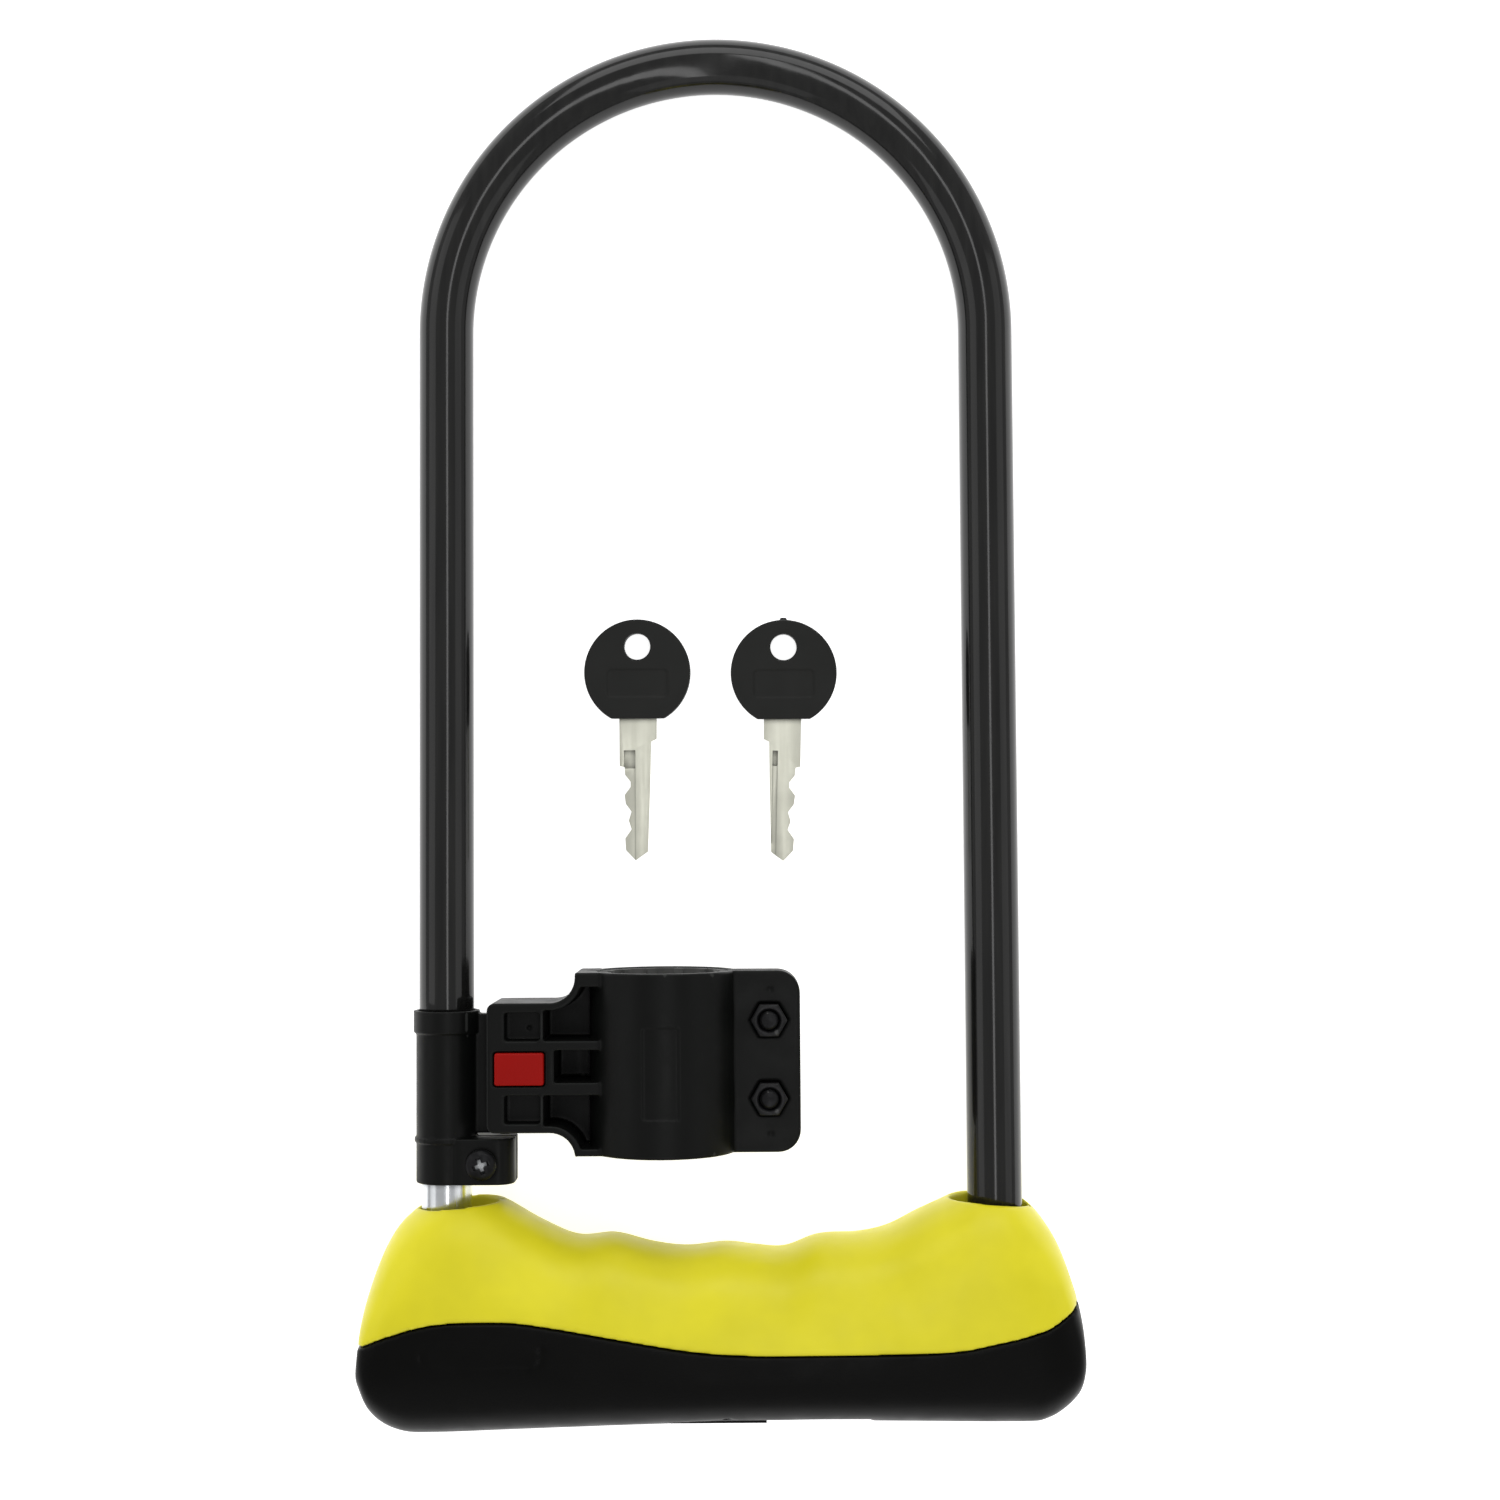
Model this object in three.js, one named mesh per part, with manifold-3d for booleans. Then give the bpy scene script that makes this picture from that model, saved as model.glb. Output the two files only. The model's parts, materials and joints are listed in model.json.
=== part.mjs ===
// U lock with its frame bracket and two keys, in millimetres.
// The lock is modelled in its own frame: x along the crossbar, y along the shackle's legs towards
// the bend, z out of the plane of the U, with the origin on the crossbar tube's axis midway between
// the legs. The whole lock is then laid down, resting on its crossbar and on the bend.

import * as THREE from 'three';
import { mergeVertices } from 'three/addons/utils/BufferGeometryUtils.js';
import Module from 'manifold-3d';

const wasm = await Module();
wasm.setup();

// ---- Driving dimensions ----

const GAP = 0.3; // clearance between touching pieces

const LEG_X = 74; // half the spacing of the legs
const LEG_TOP = 273; // where the legs end and the bend starts
const BAR_R = 6.75;
const SLEEVE_R = 7.4;
const SLEEVE_BORE_R = 7.05;
const FOOT_Y = -10.6;
const SLEEVE_END = { left: 84, right: 20 };

const HALF_LENGTH = 96.4; // crossbar covers
const HALF_DEPTH = 22.3;
const RIM_Y = 36.3; // height of the collars round the leg holes
const RIM_SLOPE = THREE.MathUtils.degToRad(5);
const LEG_HOLE = { left: -70.4, right: 72.8, radius: 10.9 };

const TUBE = { radius: 16, bore: 13, half: 86 };

const CYLINDER = { radius: 11, z: 1, face: -18.9, back: -0.4 };
const PLUG = { radius: 5.4, z: -3, face: -18.7, back: -0.2 };
const PIN = { count: 5, radius: 1.3, pitch: 3.5, first: -16.3 };
const CAM = { radius: 6.6, bottom: 0.3, top: 2.3, crank: 4.2, pinRadius: 1.2, pinTop: 6.9 };

const BOLT = { bottom: 3.2, top: 7.2, nose: 66.7, halfWidth: 5 };
const NOTCH_REACH = LEG_X - BAR_R + 6.2; // how far out the notch in each foot reaches

const COLLAR = { radius: 8.2, bottom: 41.8, body: 54, flange: 82, top: 88 };
const RAIL = { neck: 2.2, head: 5, from: -67, step: -59.2, to: -56.2, bottom: 55, top: 87 };

const ARM = { left: -61.7, bottom: 56.2, top: 90.5, half: 11.5 };
const RING = { x: -15.2, z: 2, radius: 19.8, bore: 17.7, bottom: 50, top: 98.5 };
const PAD = { radius: 17.4, bore: 15.4, rib: 14.2, ribs: 12 };
const EAR = { right: 21.7, half: 5.4, corner: 6 };
const CLAMP_BOLT = { x: 13.3, ys: [64.4, 85.3], radius: 2.5 };
const BUTTON = { left: -59.6, right: -46.5, bottom: 68.8, top: 77.4, under: 8.7, face: 14 };

const KEY = { headR: 14.4, headFlat: 12.5, headThick: 5, thick: 2.2, tip: 52 };
const KEY_PLACES = [
  { x: -22.5, y: 179.3, mirror: 1 },
  { x: 18.2, y: 178.9, mirror: -1 },
];

// ---- Solids: closed geometries, and the three ways to combine them ----

function toSolid(geometry) {
  const bare = geometry.clone();
  bare.deleteAttribute('normal');
  bare.deleteAttribute('uv');
  const welded = mergeVertices(bare, 1e-4);
  return new wasm.Manifold(new wasm.Mesh({
    numProp: 3,
    vertProperties: new Float32Array(welded.attributes.position.array),
    triVerts: new Uint32Array(welded.index.array),
  }));
}

function toGeometry(body) {
  const mesh = body.getMesh();
  const geometry = new THREE.BufferGeometry();
  geometry.setAttribute('position', new THREE.BufferAttribute(mesh.vertProperties, 3));
  geometry.setIndex(new THREE.BufferAttribute(mesh.triVerts, 1));
  geometry.computeVertexNormals();
  return geometry;
}

function join(...pieces) {
  return toGeometry(pieces.map(toSolid).reduce((whole, piece) => whole.add(piece)));
}

function cut(base, ...tools) {
  return toGeometry(tools.reduce((rest, tool) => rest.subtract(toSolid(tool)), toSolid(base)));
}

function common(base, ...tools) {
  return toGeometry(tools.reduce((rest, tool) => rest.intersect(toSolid(tool)), toSolid(base)));
}

// A box between two values on each axis.
function block([x0, x1], [y0, y1], [z0, z1]) {
  const box = new THREE.BoxGeometry(x1 - x0, y1 - y0, z1 - z0);
  return box.translate((x0 + x1) / 2, (y0 + y1) / 2, (z0 + z1) / 2);
}

// Round bars along each axis, between two values on it, about a point across it.
function rodX(radius, [from, to], [y, z], sides = 24) {
  const rod = new THREE.CylinderGeometry(radius, radius, to - from, sides);
  return rod.rotateZ(Math.PI / 2).translate((from + to) / 2, y, z);
}

function rodY(radius, [from, to], [x, z], sides = 24) {
  const rod = new THREE.CylinderGeometry(radius, radius, to - from, sides);
  return rod.translate(x, (from + to) / 2, z);
}

function rodZ(radius, [from, to], [x, y], sides = 24) {
  const rod = new THREE.CylinderGeometry(radius, radius, to - from, sides);
  return rod.rotateX(Math.PI / 2).translate(x, y, (from + to) / 2);
}

// A flat outline in x and y, made into a plate between two values of z.
function plate(shape, [from, to], roundSteps = 6) {
  const options = { depth: to - from, bevelEnabled: false, curveSegments: roundSteps };
  return new THREE.ExtrudeGeometry(shape, options).translate(0, 0, from);
}

function roundedRectangle([x0, x1], [y0, y1], radius) {
  const shape = new THREE.Shape();
  shape.moveTo(x0 + radius, y0);
  shape.absarc(x1 - radius, y0 + radius, radius, -Math.PI / 2, 0);
  shape.absarc(x1 - radius, y1 - radius, radius, 0, Math.PI / 2);
  shape.absarc(x0 + radius, y1 - radius, radius, Math.PI / 2, Math.PI);
  shape.absarc(x0 + radius, y0 + radius, radius, Math.PI, Math.PI * 1.5);
  return shape;
}

// A coil spring along y, standing on y = 0.
class Helix extends THREE.Curve {
  constructor(radius, height, turns) {
    super();
    Object.assign(this, { radius, height, turns });
  }

  getPoint(t, target = new THREE.Vector3()) {
    const angle = t * this.turns * Math.PI * 2;
    return target.set(this.radius * Math.cos(angle), t * this.height, this.radius * Math.sin(angle));
  }
}

function coilSpring(radius, wire, height, turns) {
  const section = new THREE.Shape().absarc(0, 0, wire, 0, Math.PI * 2);
  const extrudePath = new Helix(radius, height, turns);
  return new THREE.ExtrudeGeometry(section, { steps: turns * 8, extrudePath, curveSegments: 2 });
}

// ---- Materials ----

const finishes = {
  yellow: new THREE.MeshStandardMaterial({ color: 0xd9cf38, roughness: 0.45, metalness: 0 }),
  black: new THREE.MeshStandardMaterial({ color: 0x1c1d1c, roughness: 0.55, metalness: 0 }),
  sleeve: new THREE.MeshStandardMaterial({ color: 0x101110, roughness: 0.22, metalness: 0 }),
  red: new THREE.MeshStandardMaterial({ color: 0xc01812, roughness: 0.45, metalness: 0 }),
  rubber: new THREE.MeshStandardMaterial({ color: 0x232422, roughness: 0.85, metalness: 0 }),
  steel: new THREE.MeshStandardMaterial({ color: 0xc4c8cc, roughness: 0.3, metalness: 1 }),
  blackSteel: new THREE.MeshStandardMaterial({ color: 0x26282a, roughness: 0.4, metalness: 0.8 }),
  nickel: new THREE.MeshStandardMaterial({ color: 0xcbccbb, roughness: 0.3, metalness: 1 }),
  brass: new THREE.MeshStandardMaterial({ color: 0xc2a45a, roughness: 0.35, metalness: 1 }),
};

function piece(name, geometry, finish) {
  const mesh = new THREE.Mesh(geometry, finishes[finish].clone());
  mesh.name = name;
  return mesh;
}

function placed(mesh, x, y, z) {
  mesh.position.set(x, y, z);
  return mesh;
}

// ---- Crossbar covers ----

// The height of a smooth curve through the given points, which run along x.
function profile(points) {
  const curve = new THREE.SplineCurve(points.map(([x, y]) => new THREE.Vector2(x, y)));
  const samples = curve.getPoints(points.length * 24);
  return (x) => {
    const next = samples.findIndex((sample) => sample.x >= x);
    if (next < 1) return next === 0 ? samples[0].y : samples[samples.length - 1].y;
    const [a, b] = [samples[next - 1], samples[next]];
    return THREE.MathUtils.mapLinear(x, a.x, b.x, a.y, b.y);
  };
}

const END_Y = -5; // height of the middle of the crossbar's two end faces

const topAt = profile([
  [-HALF_LENGTH, END_Y], [-95.8, 1], [-95, 9], [-92.9, 17], [-89.3, 26], [-84.7, 32.5], [-76.5, 38],
  [-66.7, 39.6], [-58.7, 37], [-48.7, 31], [-38.7, 26.2], [-28.7, 25.7], [-18.7, 24.4], [-9.2, 22.8],
  [1.3, 23.9], [9.3, 23.2], [17.3, 22.2], [26.3, 25], [37.3, 26.6], [45.3, 27], [53.3, 30.4], [61.3, 35.6],
  [69.3, 40.6], [77.3, 40], [84.3, 34], [89.8, 26], [93.3, 17], [95.4, 9], [96.1, 1], [HALF_LENGTH, END_Y],
]);

const bottomAt = profile([
  [-HALF_LENGTH, END_Y], [-96.2, -10], [-93.3, -18.5], [-86.2, -23.4], [-74.7, -24.2], [-38.7, -22.9],
  [1.3, -21.8], [35, -21.7], [77, -22.4], [87.3, -21.3], [94.5, -15.5], [96.1, -10], [HALF_LENGTH, END_Y],
]);

const partingAt = profile([
  [-110, -3], [-94.7, 1.2], [-87.7, 4.1], [-74.7, 7.6], [-56.7, 8.1], [-44.7, 6.7], [-26.7, 3.5],
  [-8.7, 0.5], [5.3, -0.7], [21.3, -0.9], [57.3, -0.4], [71.3, 1.6], [84.3, 4.8], [91, 8.6], [96, 11.5],
  [110, 17],
]);

// The outside of both covers as one hull: a rounded section at each station along x.
function crossbarHull() {
  const stations = 38;
  const around = 24;
  const squareness = 2.35;
  const vertices = [-HALF_LENGTH, END_Y, 0];
  for (let i = 1; i < stations; i += 1) {
    const x = -HALF_LENGTH * Math.cos((Math.PI * i) / stations);
    const top = topAt(x);
    const bottom = bottomAt(x);
    const depth = HALF_DEPTH * (1 - Math.abs(x / HALF_LENGTH) ** 9) ** (1 / 9);
    for (let j = 0; j < around; j += 1) {
      const angle = (Math.PI * 2 * j) / around;
      const across = Math.sign(Math.cos(angle)) * Math.abs(Math.cos(angle)) ** (2 / squareness);
      const up = Math.sign(Math.sin(angle)) * Math.abs(Math.sin(angle)) ** (2 / squareness);
      vertices.push(x, (top + bottom) / 2 + (up * (top - bottom)) / 2, across * depth);
    }
  }
  vertices.push(HALF_LENGTH, END_Y, 0);

  const last = vertices.length / 3 - 1;
  const at = (i, j) => 1 + (i - 1) * around + (j % around);
  const triangles = [];
  for (let j = 0; j < around; j += 1) {
    triangles.push(0, at(1, j), at(1, j + 1));
    for (let i = 1; i < stations - 1; i += 1) {
      triangles.push(at(i, j), at(i + 1, j), at(i + 1, j + 1));
      triangles.push(at(i, j), at(i + 1, j + 1), at(i, j + 1));
    }
    triangles.push(last, at(stations - 1, j + 1), at(stations - 1, j));
  }
  const hull = new THREE.BufferGeometry();
  hull.setAttribute('position', new THREE.Float32BufferAttribute(vertices, 3));
  hull.setIndex(triangles);
  return hull;
}

// Everything on one side of the parting surface: side is 1 above it, -1 below.
function partingSide(side) {
  const steps = 32;
  const reach = 110;
  const shape = new THREE.Shape();
  shape.moveTo(-reach, side * 60);
  for (let i = 0; i <= steps; i += 1) {
    const x = THREE.MathUtils.lerp(-reach, reach, i / steps);
    shape.lineTo(x, partingAt(x) + (side * GAP) / 2);
  }
  shape.lineTo(reach, side * 60);
  return plate(shape, [-30, 30]);
}

// The space that cuts the collar round a leg hole off flat, sloping down outwards.
function aboveRim(hole) {
  const outwards = Math.sign(hole);
  const cutter = block([-15, 15], [0, 20], [-30, 30]);
  return cutter.rotateZ(-outwards * RIM_SLOPE).translate(hole, RIM_Y, 0);
}

function tubeSpace() {
  const reach = TUBE.half + GAP;
  return rodX(TUBE.radius + GAP, [-reach, reach], [0, 0], 32);
}

const COVER_SCREW = { x: 90.5, radius: 1.5, headR: 3, seat: -9, head: -11, tip: 13 };

function coverScrewHole(side) {
  const at = [side * COVER_SCREW.x, 0];
  const shank = rodY(COVER_SCREW.radius + GAP, [-30, COVER_SCREW.tip + GAP], at, 16);
  const head = rodY(COVER_SCREW.headR + GAP, [-30, COVER_SCREW.seat - GAP], at, 16);
  return join(shank, head);
}

const TRACK = { left: -14, right: 40, half: 8, lip: 10, pad: -21.4, lipTop: -20.6, floor: -19.2 };

// The recess under the crossbar that the dust cover slides in: wider behind its two lips.
function dustTrack() {
  const mouth = block([TRACK.left, TRACK.right], [-30, TRACK.floor], [-TRACK.half, TRACK.half]);
  const groove = block([TRACK.left, TRACK.right], [TRACK.lipTop, TRACK.floor], [-TRACK.lip, TRACK.lip]);
  const pad = block([TRACK.left - 4, TRACK.right + 4], [-30, TRACK.pad], [-14, 14]);
  return join(mouth, groove, pad);
}

function upperCover() {
  const holes = [LEG_HOLE.left, LEG_HOLE.right];
  return cut(
    common(crossbarHull(), partingSide(1)),
    tubeSpace(),
    ...holes.map(aboveRim),
    ...holes.map((x) => rodY(LEG_HOLE.radius, [0, 60], [x, 0], 28)),
    coverScrewHole(-1),
    coverScrewHole(1),
  );
}

function lowerCover() {
  const cylinder = rodY(CYLINDER.radius + GAP, [TRACK.floor - 0.01, 0], [0, CYLINDER.z], 28);
  return cut(
    common(crossbarHull(), partingSide(-1)),
    tubeSpace(),
    dustTrack(),
    cylinder,
    coverScrewHole(-1),
    coverScrewHole(1),
  );
}

function coverScrew() {
  const { radius, headR, seat, head, tip } = COVER_SCREW;
  const shank = rodY(radius, [head + 0.5, tip], [0, 0], 16);
  const cap = rodY(headR, [head, seat - GAP * 2], [0, 0], 16);
  const slots = [[0.4, 1.8], [1.8, 0.4]].map(([x, z]) => block([-x, x], [head - 1, head + 0.9], [-z, z]));
  return cut(join(shank, cap), ...slots);
}

function dustCover() {
  const half = TRACK.half - GAP;
  const lip = TRACK.lip - GAP;
  const edges = [TRACK.left + GAP, TRACK.left + 26];
  const outer = block(edges, [TRACK.pad + 0.1, TRACK.floor - GAP], [-half, half]);
  const inner = block(edges, [TRACK.lipTop + GAP, TRACK.floor - GAP], [-lip, lip]);
  const grooves = [0, 1, 2, 3].map((i) => {
    const x = edges[1] - 3 - i * 2;
    return block([x - 0.4, x + 0.4], [-30, TRACK.pad + 0.6], [-half + 2, half - 2]);
  });
  return cut(join(outer, inner), ...grooves);
}

// ---- Crossbar tube and what closes it ----

const RETAINING_PIN = { radius: 1.2, x: 6, y: -9, from: 7.2, to: 12.4 };

function retainingPinHole() {
  const { radius, x, y, from } = RETAINING_PIN;
  return rodZ(radius + GAP, [from - GAP, TUBE.radius], [x, y], 12);
}

function retainingPin() {
  return rodZ(RETAINING_PIN.radius, [RETAINING_PIN.from, RETAINING_PIN.to], [0, 0], 12);
}

function crossbarTube() {
  const { radius, bore, half } = TUBE;
  const footHoles = [-LEG_X, LEG_X].map((x) => rodY(BAR_R + 0.5, [0, 30], [x, 0], 24));
  return cut(
    rodX(radius, [-half, half], [0, 0], 32),
    rodX(bore, [-half - 1, half + 1], [0, 0], 32),
    rodY(CYLINDER.radius + GAP, [-30, 0], [0, CYLINDER.z], 28),
    retainingPinHole(),
    ...footHoles,
  );
}

function tubeEndPlug() {
  const disc = rodX(TUBE.bore - GAP, [0, 3.5], [0, 0], 32);
  return cut(disc, rodX(7, [1.5, 5], [0, 0], 20));
}

// A disc across the tube with a window that the bolt slides through.
function boltGuide() {
  const disc = rodX(TUBE.bore - GAP, [-4, 4], [0, 0], 32);
  const { bottom, top, halfWidth } = BOLT;
  const wide = halfWidth + GAP;
  return cut(disc, block([-6, 6], [bottom - GAP, top + GAP], [-wide, wide]));
}

// ---- Lock cylinder, turning plug and pins ----

const pinHeights = Array.from({ length: PIN.count }, (_, i) => PIN.first + i * PIN.pitch);
const SHEAR_Z = PLUG.z + PLUG.radius;
const CHAMBER_TOP = CYLINDER.z + CYLINDER.radius - 1.4;
const DRIVER_TOP = SHEAR_Z + 3.4;

function cylinderBody() {
  const axis = [0, CYLINDER.z];
  const chambers = pinHeights.map((y) => rodZ(PIN.radius + GAP, [PLUG.z, CHAMBER_TOP], [0, y], 16));
  const plugBore = rodY(PLUG.radius + GAP, [-30, 10], [0, PLUG.z], 28);
  const body = rodY(CYLINDER.radius, [CYLINDER.face, CYLINDER.back], axis, 28);
  return cut(body, plugBore, retainingPinHole(), ...chambers);
}

function cylinderPlug() {
  const axis = [0, PLUG.z];
  const barrel = rodY(PLUG.radius, [PLUG.face, PLUG.back], axis, 28);
  const tail = block([-2, 2], [PLUG.back - 0.1, CAM.top], [PLUG.z - 2, PLUG.z + 2]);
  const keyway = block([-1.4, 1.4], [-30, PLUG.back - 1.5], [PLUG.z - 4, PLUG.z + 3.9]);
  const ward = block([-1.6, -0.6], [PLUG.face, PLUG.back - 1.5], [PLUG.z - 1, PLUG.z]);
  const chambers = pinHeights.map((y) => rodZ(PIN.radius + GAP, [PLUG.z + 1, 10], [0, y], 16));
  return join(cut(join(barrel, tail), keyway, ...chambers), ward);
}

function keyPin(index) {
  const length = 3.2 - (index % 2) * 0.7;
  const top = SHEAR_Z - 0.35;
  const pin = rodZ(PIN.radius, [top - length + 0.8, top], [0, 0], 12);
  const tip = new THREE.ConeGeometry(PIN.radius, 0.8, 12).rotateX(-Math.PI / 2);
  return join(pin, tip.translate(0, 0, top - length + 0.4 + 0.01));
}

function driverPin() {
  return rodZ(PIN.radius, [SHEAR_Z + GAP + 0.1, DRIVER_TOP], [0, 0], 12);
}

function driverSpring() {
  const bottom = DRIVER_TOP + 0.5;
  const spring = coilSpring(0.95, 0.22, CHAMBER_TOP - bottom - GAP, 4);
  return spring.rotateX(Math.PI / 2).translate(0, 0, bottom);
}

// The cam on the plug's tail: each of its two crank pins drives one bolt.
function lockCam() {
  const disc = rodY(CAM.radius, [CAM.bottom, CAM.top], [0, 0], 28);
  const pinAt = CAM.crank * Math.SQRT1_2;
  const pins = [1, -1].map((side) => (
    rodY(CAM.pinRadius, [CAM.top - 0.2, CAM.pinTop], [side * pinAt, side * pinAt], 14)
  ));
  return cut(join(disc, ...pins), block([-2.3, 2.3], [-1, CAM.top - 0.1 + 1], [-2.3, 2.3]));
}

// A bolt: the nose in its guide, and an arm with a slot for its crank pin. The left bolt's arm
// passes on the front side of the cam's axis (side 1), the right bolt's behind it (side -1).
function lockBolt(side) {
  const { bottom, top, nose, halfWidth } = BOLT;
  const heights = [bottom, top];
  const outwards = (from, to) => [-side * from, -side * to].sort((a, b) => a - b);
  const armWidth = side > 0 ? [PLUG.z + 0.5, halfWidth] : [PLUG.z - 7, PLUG.z - 0.5];
  const bridgeWidth = [Math.min(armWidth[0], -halfWidth), halfWidth];
  const shaft = block(outwards(24, nose), heights, [-halfWidth, halfWidth]);
  const bridge = block(outwards(22, 28), heights, bridgeWidth);
  const pinX = CAM.crank * Math.SQRT1_2;
  const arm = block(outwards(-pinX - 3.2, 25), heights, armWidth);

  // The pin swings between 45 degrees and 90 degrees from the crossbar's line.
  const slotHalf = CAM.pinRadius + GAP + 0.15;
  const slotMiddle = PLUG.z + (side * CAM.crank * (1 + Math.SQRT1_2)) / 2;
  const slotWidth = [slotMiddle - 2.3, slotMiddle + 2.3];
  const slot = block(outwards(-pinX - slotHalf, -pinX + slotHalf), [0, 10], slotWidth);
  return cut(join(shaft, bridge, arm), slot);
}

// ---- Shackle ----

// The centre line of the U, with one step along each leg and the rest round the bend.
class BowLine extends THREE.Curve {
  constructor(leftEnd, rightEnd, bendSteps) {
    super();
    Object.assign(this, { leftEnd, rightEnd, bendSteps });
  }

  getUtoTmapping(u) {
    return u;
  }

  getPoint(t, target = new THREE.Vector3()) {
    const step = t * (this.bendSteps + 2);
    if (step <= 1) return target.set(-LEG_X, THREE.MathUtils.lerp(this.leftEnd, LEG_TOP, step), 0);
    const rest = step - 1 - this.bendSteps;
    if (rest >= 0) return target.set(LEG_X, THREE.MathUtils.lerp(LEG_TOP, this.rightEnd, rest), 0);
    const angle = Math.PI * (1 - (step - 1) / this.bendSteps);
    return target.set(LEG_X * Math.cos(angle), LEG_TOP + LEG_X * Math.sin(angle), 0);
  }
}

const BEND_STEPS = 24;

function bow(section, leftEnd, rightEnd) {
  const extrudePath = new BowLine(leftEnd, rightEnd, BEND_STEPS);
  return new THREE.ExtrudeGeometry(section, { steps: BEND_STEPS + 2, extrudePath, curveSegments: 8 });
}

function shackleBar() {
  const section = new THREE.Shape().absarc(0, 0, BAR_R, 0, Math.PI * 2);
  const heights = [BOLT.bottom - 0.6, BOLT.top + 0.6];
  const notches = [[-NOTCH_REACH, -50], [50, NOTCH_REACH]].map((xs) => block(xs, heights, [-9, 9]));
  return cut(bow(section, FOOT_Y, FOOT_Y), ...notches);
}

function shackleSleeve() {
  const section = new THREE.Shape().absarc(0, 0, SLEEVE_R, 0, Math.PI * 2);
  section.holes.push(new THREE.Path().absarc(0, 0, SLEEVE_BORE_R, 0, Math.PI * 2, true));
  return bow(section, SLEEVE_END.left, SLEEVE_END.right);
}

// ---- Collar that carries the bracket ----

const CLAMP_SCREW = { x: -63.7, y: 47.3, radius: 2, headR: 4.1, half: 8.2 };

function bracketCollar() {
  const leg = [-LEG_X, 0];
  const { x, y, radius, half } = CLAMP_SCREW;
  const body = rodY(COLLAR.radius, [COLLAR.bottom, COLLAR.top], leg, 28);
  const flange = rodY(COLLAR.radius + 0.7, [COLLAR.flange, COLLAR.top], leg, 28);
  const foot = rodY(half, [COLLAR.bottom, COLLAR.body], leg, 28);
  const lug = roundedRectangle([-LEG_X, -55.2], [-half, half], 3.5);
  const lugHeight = [-COLLAR.body, -COLLAR.bottom];
  const pinch = plate(lug, lugHeight, 4).rotateX(Math.PI / 2);
  const neck = block([RAIL.from, RAIL.step + 0.1], [RAIL.bottom, RAIL.top], [-RAIL.neck, RAIL.neck]);
  const head = block([RAIL.step, RAIL.to], [RAIL.bottom, RAIL.top], [-RAIL.head, RAIL.head]);
  const nutRecess = rodZ(4.5, [-half - 1, -half + 2], [x, y], 6);
  return cut(
    join(body, flange, foot, pinch, neck, head),
    rodY(BAR_R + GAP, [0, COLLAR.flange + 1], leg, 24),
    rodY(SLEEVE_R + GAP + 0.1, [COLLAR.flange, 100], leg, 24),
    block([-LEG_X + 3, -50], [30, COLLAR.body + 0.5], [-0.6, 0.6]),
    rodZ(radius + GAP, [-12, 12], [x, y], 16),
    nutRecess,
  );
}

function panScrew() {
  const { radius, headR, half } = CLAMP_SCREW;
  const rim = half + GAP;
  const shank = [[0, -half - 1], [radius, -half - 1], [radius, rim], [headR, rim]];
  const domeSteps = 4;
  const dome = Array.from({ length: domeSteps }, (_, i) => {
    const angle = ((i / domeSteps) * Math.PI) / 2;
    return [headR * Math.cos(angle), rim + 1 + 1.6 * Math.sin(angle)];
  });
  const points = [...shank, ...dome, [0, rim + 2.6]].map(([r, z]) => new THREE.Vector2(r, z));
  const screw = new THREE.LatheGeometry(points, 20).rotateX(Math.PI / 2);
  const crosses = [[0.6, 2.4], [2.4, 0.6]].map(([x, y]) => block([-x, x], [-y, y], [rim + 1, rim + 4]));
  return cut(screw, ...crosses);
}

function hexNut(acrossCorners, height, hole) {
  return cut(rodZ(acrossCorners / 2, [0, height], [0, 0], 6), rodZ(hole, [-1, height + 1], [0, 0], 16));
}

// ---- Frame bracket: an arm that slides on the rail, and a ring in two halves ----

const SPLIT = { front: RING.z + 0.4, rear: RING.z - 0.4 };
const ARM_MIDDLE = (ARM.bottom + ARM.top) / 2;
const FILLET = { x: -45, radius: 6.7 }; // where the arm widens to the ring's height

function armShape() {
  const { x, radius } = FILLET;
  const shape = new THREE.Shape();
  shape.moveTo(ARM.left, ARM.bottom);
  shape.lineTo(x, ARM.bottom);
  shape.absarc(x, ARM.bottom - radius, radius, Math.PI / 2, 0, true);
  shape.lineTo(RING.x, ARM.bottom - radius);
  shape.lineTo(RING.x, ARM.top + radius);
  shape.absarc(x, ARM.top + radius, radius, 0, -Math.PI / 2, true);
  shape.lineTo(ARM.left, ARM.top);
  return shape;
}

// One of the arm's two deep pockets: side is 1 for the upper and -1 for the lower one.
function widePocket(side) {
  const wall = 1.9;
  const arcR = FILLET.radius + wall;
  const arcY = ARM.top - ARM_MIDDLE + FILLET.radius;
  const start = -0.29;
  const shape = new THREE.Shape();
  shape.moveTo(-46.6, 7.2);
  shape.lineTo(-30, 7.2);
  shape.lineTo(-30, arcY + arcR * Math.sin(start));
  shape.absarc(FILLET.x, arcY, arcR, start, -Math.PI / 2, true);
  shape.lineTo(-46.6, arcY - arcR);
  const pocket = plate(shape, [-2, 30], 5);
  if (side < 0) pocket.rotateX(Math.PI).translate(0, 0, 28);
  return pocket.translate(0, ARM_MIDDLE, 0);
}

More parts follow.
